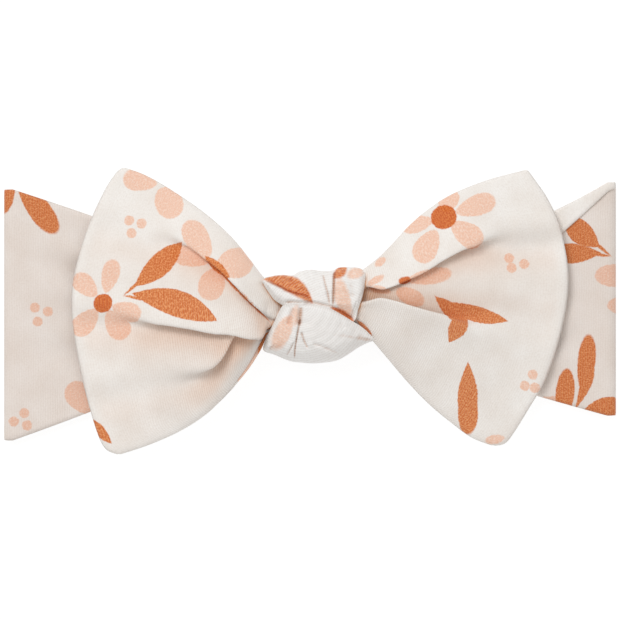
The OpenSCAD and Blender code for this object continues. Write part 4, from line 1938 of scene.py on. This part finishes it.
def right_ear() -> Ear:
    """The right ear, whose middle sinks between an upper and a lower lip."""
    return Ear(
        side=Side.RIGHT,
        root_edge=[(12.2, 9.0), (12.0, 6.0), (11.2, 3.2), (10.2, 0.8), (9.0, -0.8)],
        upper_edge=[(12.2, 9.0), (15.2, 11.2), (18.2, 13.6), (21.6, 17.0), (25.6, 21.4), (30.4, 25.6),
                    (37.0, 29.9), (46.5, 33.7), (56.6, 36.4)],
        lower_edge=[(9.0, -0.8), (11.9, -2.9), (14.2, -5.2), (16.6, -7.8), (20.2, -12.2), (25.6, -18.6),
                    (31.0, -24.2), (36.6, -28.9), (42.2, -33.0), (47.8, -35.2)],
        end_edge=[(58.6, 33.6), (61.8, 28.8), (65.1, 21.4), (66.9, 12.4), (66.9, 3.6), (64.9, -6.8),
                  (61.2, -17.9), (56.6, -26.0), (52.6, -32.4), (50.6, -34.6)],
        creases=[
            Crease(((13.6, 4.6), (20.2, 6.0), (23.9, 7.6), (28.7, 9.8), (33.0, 12.5), (37.2, 15.1),
                    (41.5, 17.0),
                    (47.0, 18.4), (53.0, 18.8)), Over.UPPER, 3.6, 2.7, (1.4, 4.6), 0.62),
            Crease(((13.2, 3.0), (18.6, 2.8), (22.9, 1.6), (27.7, 0.1), (33.0, -1.5), (37.2, -2.7),
                    (41.5, -3.5),
                    (48.5, -3.6)), Over.LOWER, 3.0, 2.1, (1.4, 4.4), 0.45),
        ],
        swells=[
            Swell(45.0, 26.0, 12.0, 6.0, 25, 0.7), Swell(38.0, -16.0, 13.0, 8.0, -35, 0.9),
            Swell(50.0, 6.0, 10.0, 5.0, 5, 0.7), Swell(60.0, -7.0, 6.0, 4.0, -20, -0.6),
            Swell(58.0, 17.0, 6.0, 4.0, 10, -0.5),
        ],
        marks=RIGHT_EAR_MARKS,
        back_marks=BACK_MARKS,
        under=[((14.5, 9.6), (14.3, 6.2), (13.7, 3.4), (12.7, 0.4), (11.6, -2.9)),
               ((11.6, -2.9), (13.2, -4.1), (15.2, -5.8), (16.7, -7.7))],
        sliver=0.5, hollow_tint=0.2,
    )


def knot_wraps() -> list[Wrap]:
    """The half knot's two wraps, each passing over one ear's neck and under the other."""
    upper = Wrap(
        name="knot_upper_fan", node="knot_upper_wrap",
        outline=[(-12.2, 7.9, 1.6, 14.6), (-10.0, 8.8, 2.2, 13.0), (-7.2, 9.2, 3.0, 12.0), (-4.6, 9.0,
                                                                                            4.0, 11.6),
                 (-2.7, 10.0, 5.0, 11.0), (0.2, 10.5, 5.6, 10.6), (2.8, 10.2, 5.6, 10.6),
                 (5.9, 10.3, 4.6, 10.8),
                 (7.6, 11.1, 4.6, 10.8), (10.2, 11.2, 4.6, 11.0), (13.2, 10.8, 3.4, 12.0),
                 (14.4, 9.2, 2.4, 14.0),
                 (14.2, 6.2, 1.8, 15.2), (13.6, 3.4, 1.5, 15.6), (12.6, 0.4, 1.5, 15.6),
                 (11.5, -2.9, 1.6, 15.0),
                 (8.0, -5.4, 3.0, 12.0), (2.0, -6.0, 3.0, 12.0), (-2.4, -4.0, 2.4, 12.5),
                 (-5.0, -0.6, 1.6, 14.8),
                 (-7.2, 1.2, 1.2, 15.8), (-9.2, 2.6, 1.1, 15.9), (-10.6, 4.4, 1.1, 15.8),
                 (-12.0, 6.6, 1.2, 15.2)],
        middle=(2.6, 2.6), hill=(4.0, 5.0, 18.3, 0.004, 0.02), tuck=0.5, belly=(10.8, -0.45),
        pleats=[
            Pleat(((6.5, 10.8), (6.3, 8.0), (6.2, 5.7), (6.1, 3.0), (5.9, 0.0)), 1.3, 0.34, 0.9),
            Pleat(((3.3, 9.6), (4.2, 5.7), (4.6, 4.4), (5.3, 0.5)), 0.7, 0.3, 0.2),
            Pleat(((13.4, 4.6), (12.6, 1.5), (11.0, -2.5)), 0.7, 0.26),
            Pleat(((12.3, 2.6), (11.5, 0.2), (10.3, -2.4)), 0.5, 0.26),
            Pleat(((-12.6, 8.0), (-10.0, 6.9), (-7.9, 6.0), (-5.8, 4.9), (-3.3, 4.1), (-0.6, 3.3), (0.8,
                                                                                                    1.6)),
                  0.9, 0.3, -1.5),
            Pleat(((-11.8, 7.2), (-9.6, 5.2), (-7.0, 3.4), (-4.0, 2.7), (-0.6, 2.0)), -0.7, 1.0),
            Pleat(((-10.4, 6.4), (-8.4, 4.9), (-6.6, 3.9)), 0.25, 0.25),
            Pleat(((-7.4, 1.5), (-5.4, 2.1), (-3.0, 2.0), (0.8, 1.9), (3.3, 1.4), (5.6, 0.8), (8.3, -0.6),
                   (10.9, -2.2), (13.4, -3.8)), 0.9, 0.45),
            Pleat(((9.8, 9.8), (10.8, 6.0), (11.0, 2.6)), 0.3, 0.7),
        ],
                marks=UPPER_WRAP_MARKS, arc_middle=(6.6, -7.0),
    )
    lower = Wrap(
        name="knot_lower_fan", node="knot_lower_wrap",
        outline=[(-7.2, 1.0, 1.6, 16.6), (-4.8, 1.6, 1.2, 17.3), (-2.4, 1.5, 1.1, 17.9), (0.8, 1.4, 1.0,
                                                                                          18.2),
                 (3.2, 0.9, 1.0, 18.2), (5.5, 0.3, 1.0, 18.0), (8.1, -1.1, 1.0, 17.6),
                 (10.7, -2.7, 1.0, 16.8),
                 (13.2, -4.2, 1.1, 15.4), (15.2, -5.9, 1.2, 13.8), (16.7, -7.7, 1.2, 12.6),
                 (14.6, -8.7, 2.4, 11.4),
                 (12.2, -10.0, 3.4, 10.6), (9.4, -11.9, 4.4, 10.0), (6.4, -13.3, 5.2, 9.8),
                 (1.4, -13.9, 5.6, 9.6),
                 (-2.2, -13.7, 5.6, 9.8), (-5.2, -13.3, 5.0, 10.0), (-9.2, -11.7, 3.8, 10.6),
                 (-12.1, -10.5, 2.6, 11.4), (-11.6, -7.8, 1.8, 13.0), (-10.5, -5.4, 1.5, 15.0),
                 (-9.2, -2.8, 1.5, 16.0)],
        middle=(0.2, -5.6), hill=(-0.5, -2.5, 20.6, 0.024, 0.022), tuck=0.0, belly=(14.0, 0.6),
        pleats=[
            Pleat(((-2.3, 1.9), (-2.6, -1.6), (-2.9, -4.4)), 1.3, 0.6, -0.5),
            Pleat(((-2.5, -2.0), (-3.3, -6.4), (-3.9, -10.0), (-4.1, -13.6)), 0.9, 0.24, -0.3),
            Pleat(((-4.1, 1.4), (-4.8, -1.2), (-5.9, -4.4)), 0.9, 0.6, -0.2),
            Pleat(((-2.3, -5.6), (-1.5, -8.0), (-0.4, -10.2)), 0.7, 0.3),
            Pleat(((-4.0, -8.2), (-5.0, -10.0), (-6.3, -12.2)), 0.7, 0.26),
            Pleat(((0.4, -8.6), (4.0, -9.8), (9.4, -12.2)), 0.45, 0.5),
            Pleat(((8.8, -4.6), (12.7, -7.4)), -0.35, 0.7),
            Pleat(((-8.8, -4.0), (-9.9, -8.0), (-10.4, -11.0)), 0.3, 0.5),
        ],
        marks=LOWER_WRAP_MARKS, arc_middle=(-2.2, 1.9),
    )
    return [upper, lower]


def strands() -> list[Strand]:
    """The two strands inside the knot."""
    return [
        Strand(Side.LEFT, (2.0, -1.4, 12.4), (-11.8, -0.6, 11.4), (6.4, 3.2), (2.6, 1.0)),
        Strand(Side.RIGHT, (2.8, -1.4, 12.4), (15.4, 1.6, 11.4), (6.4, 3.2), (2.6, 1.0)),
    ]


def bands() -> list[BandSide]:
    """The flattened ring's two sides."""
    return [
        BandSide(Side.LEFT, [Gather(14.6, -4.0, 1.5, 3.0), Gather(-10.2, -14.0, 1.1, 3.2)],
                 LEFT_BAND_MARKS, (0.28, 0.28)),
        BandSide(Side.RIGHT, [Gather(6.0, 2.0, 0.7, 4.0), Gather(-8.0, -3.6, 1.4, 3.0)],
                 RIGHT_BAND_MARKS, (0.48, 0.28), turned=TurnedEdge()),
    ]


def main() -> None:
    """Builds the headband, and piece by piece."""
    logging.basicConfig(level=logging.INFO, format="%(message)s")
    Studio().build()
    thread = Thread().material()
    made: list[bpy.types.Object] = []
    for band in bands():
        made += band.build()
    made += Casing().build(thread)
    for side in Side:
        made.append(BandEnd(side, f"{side.word}_band_gather").build())
    made.append(Tacks().build(thread))
    for ear in (left_ear(), right_ear()):
        made += ear.build(thread)
    for part in (*knot_wraps(), *strands()):
        made.append(part.build())
    for piece in made:
        LOG.info("%s: %d faces", piece.name, len(piece.data.polygons))


if __name__ == "__main__":
    main()
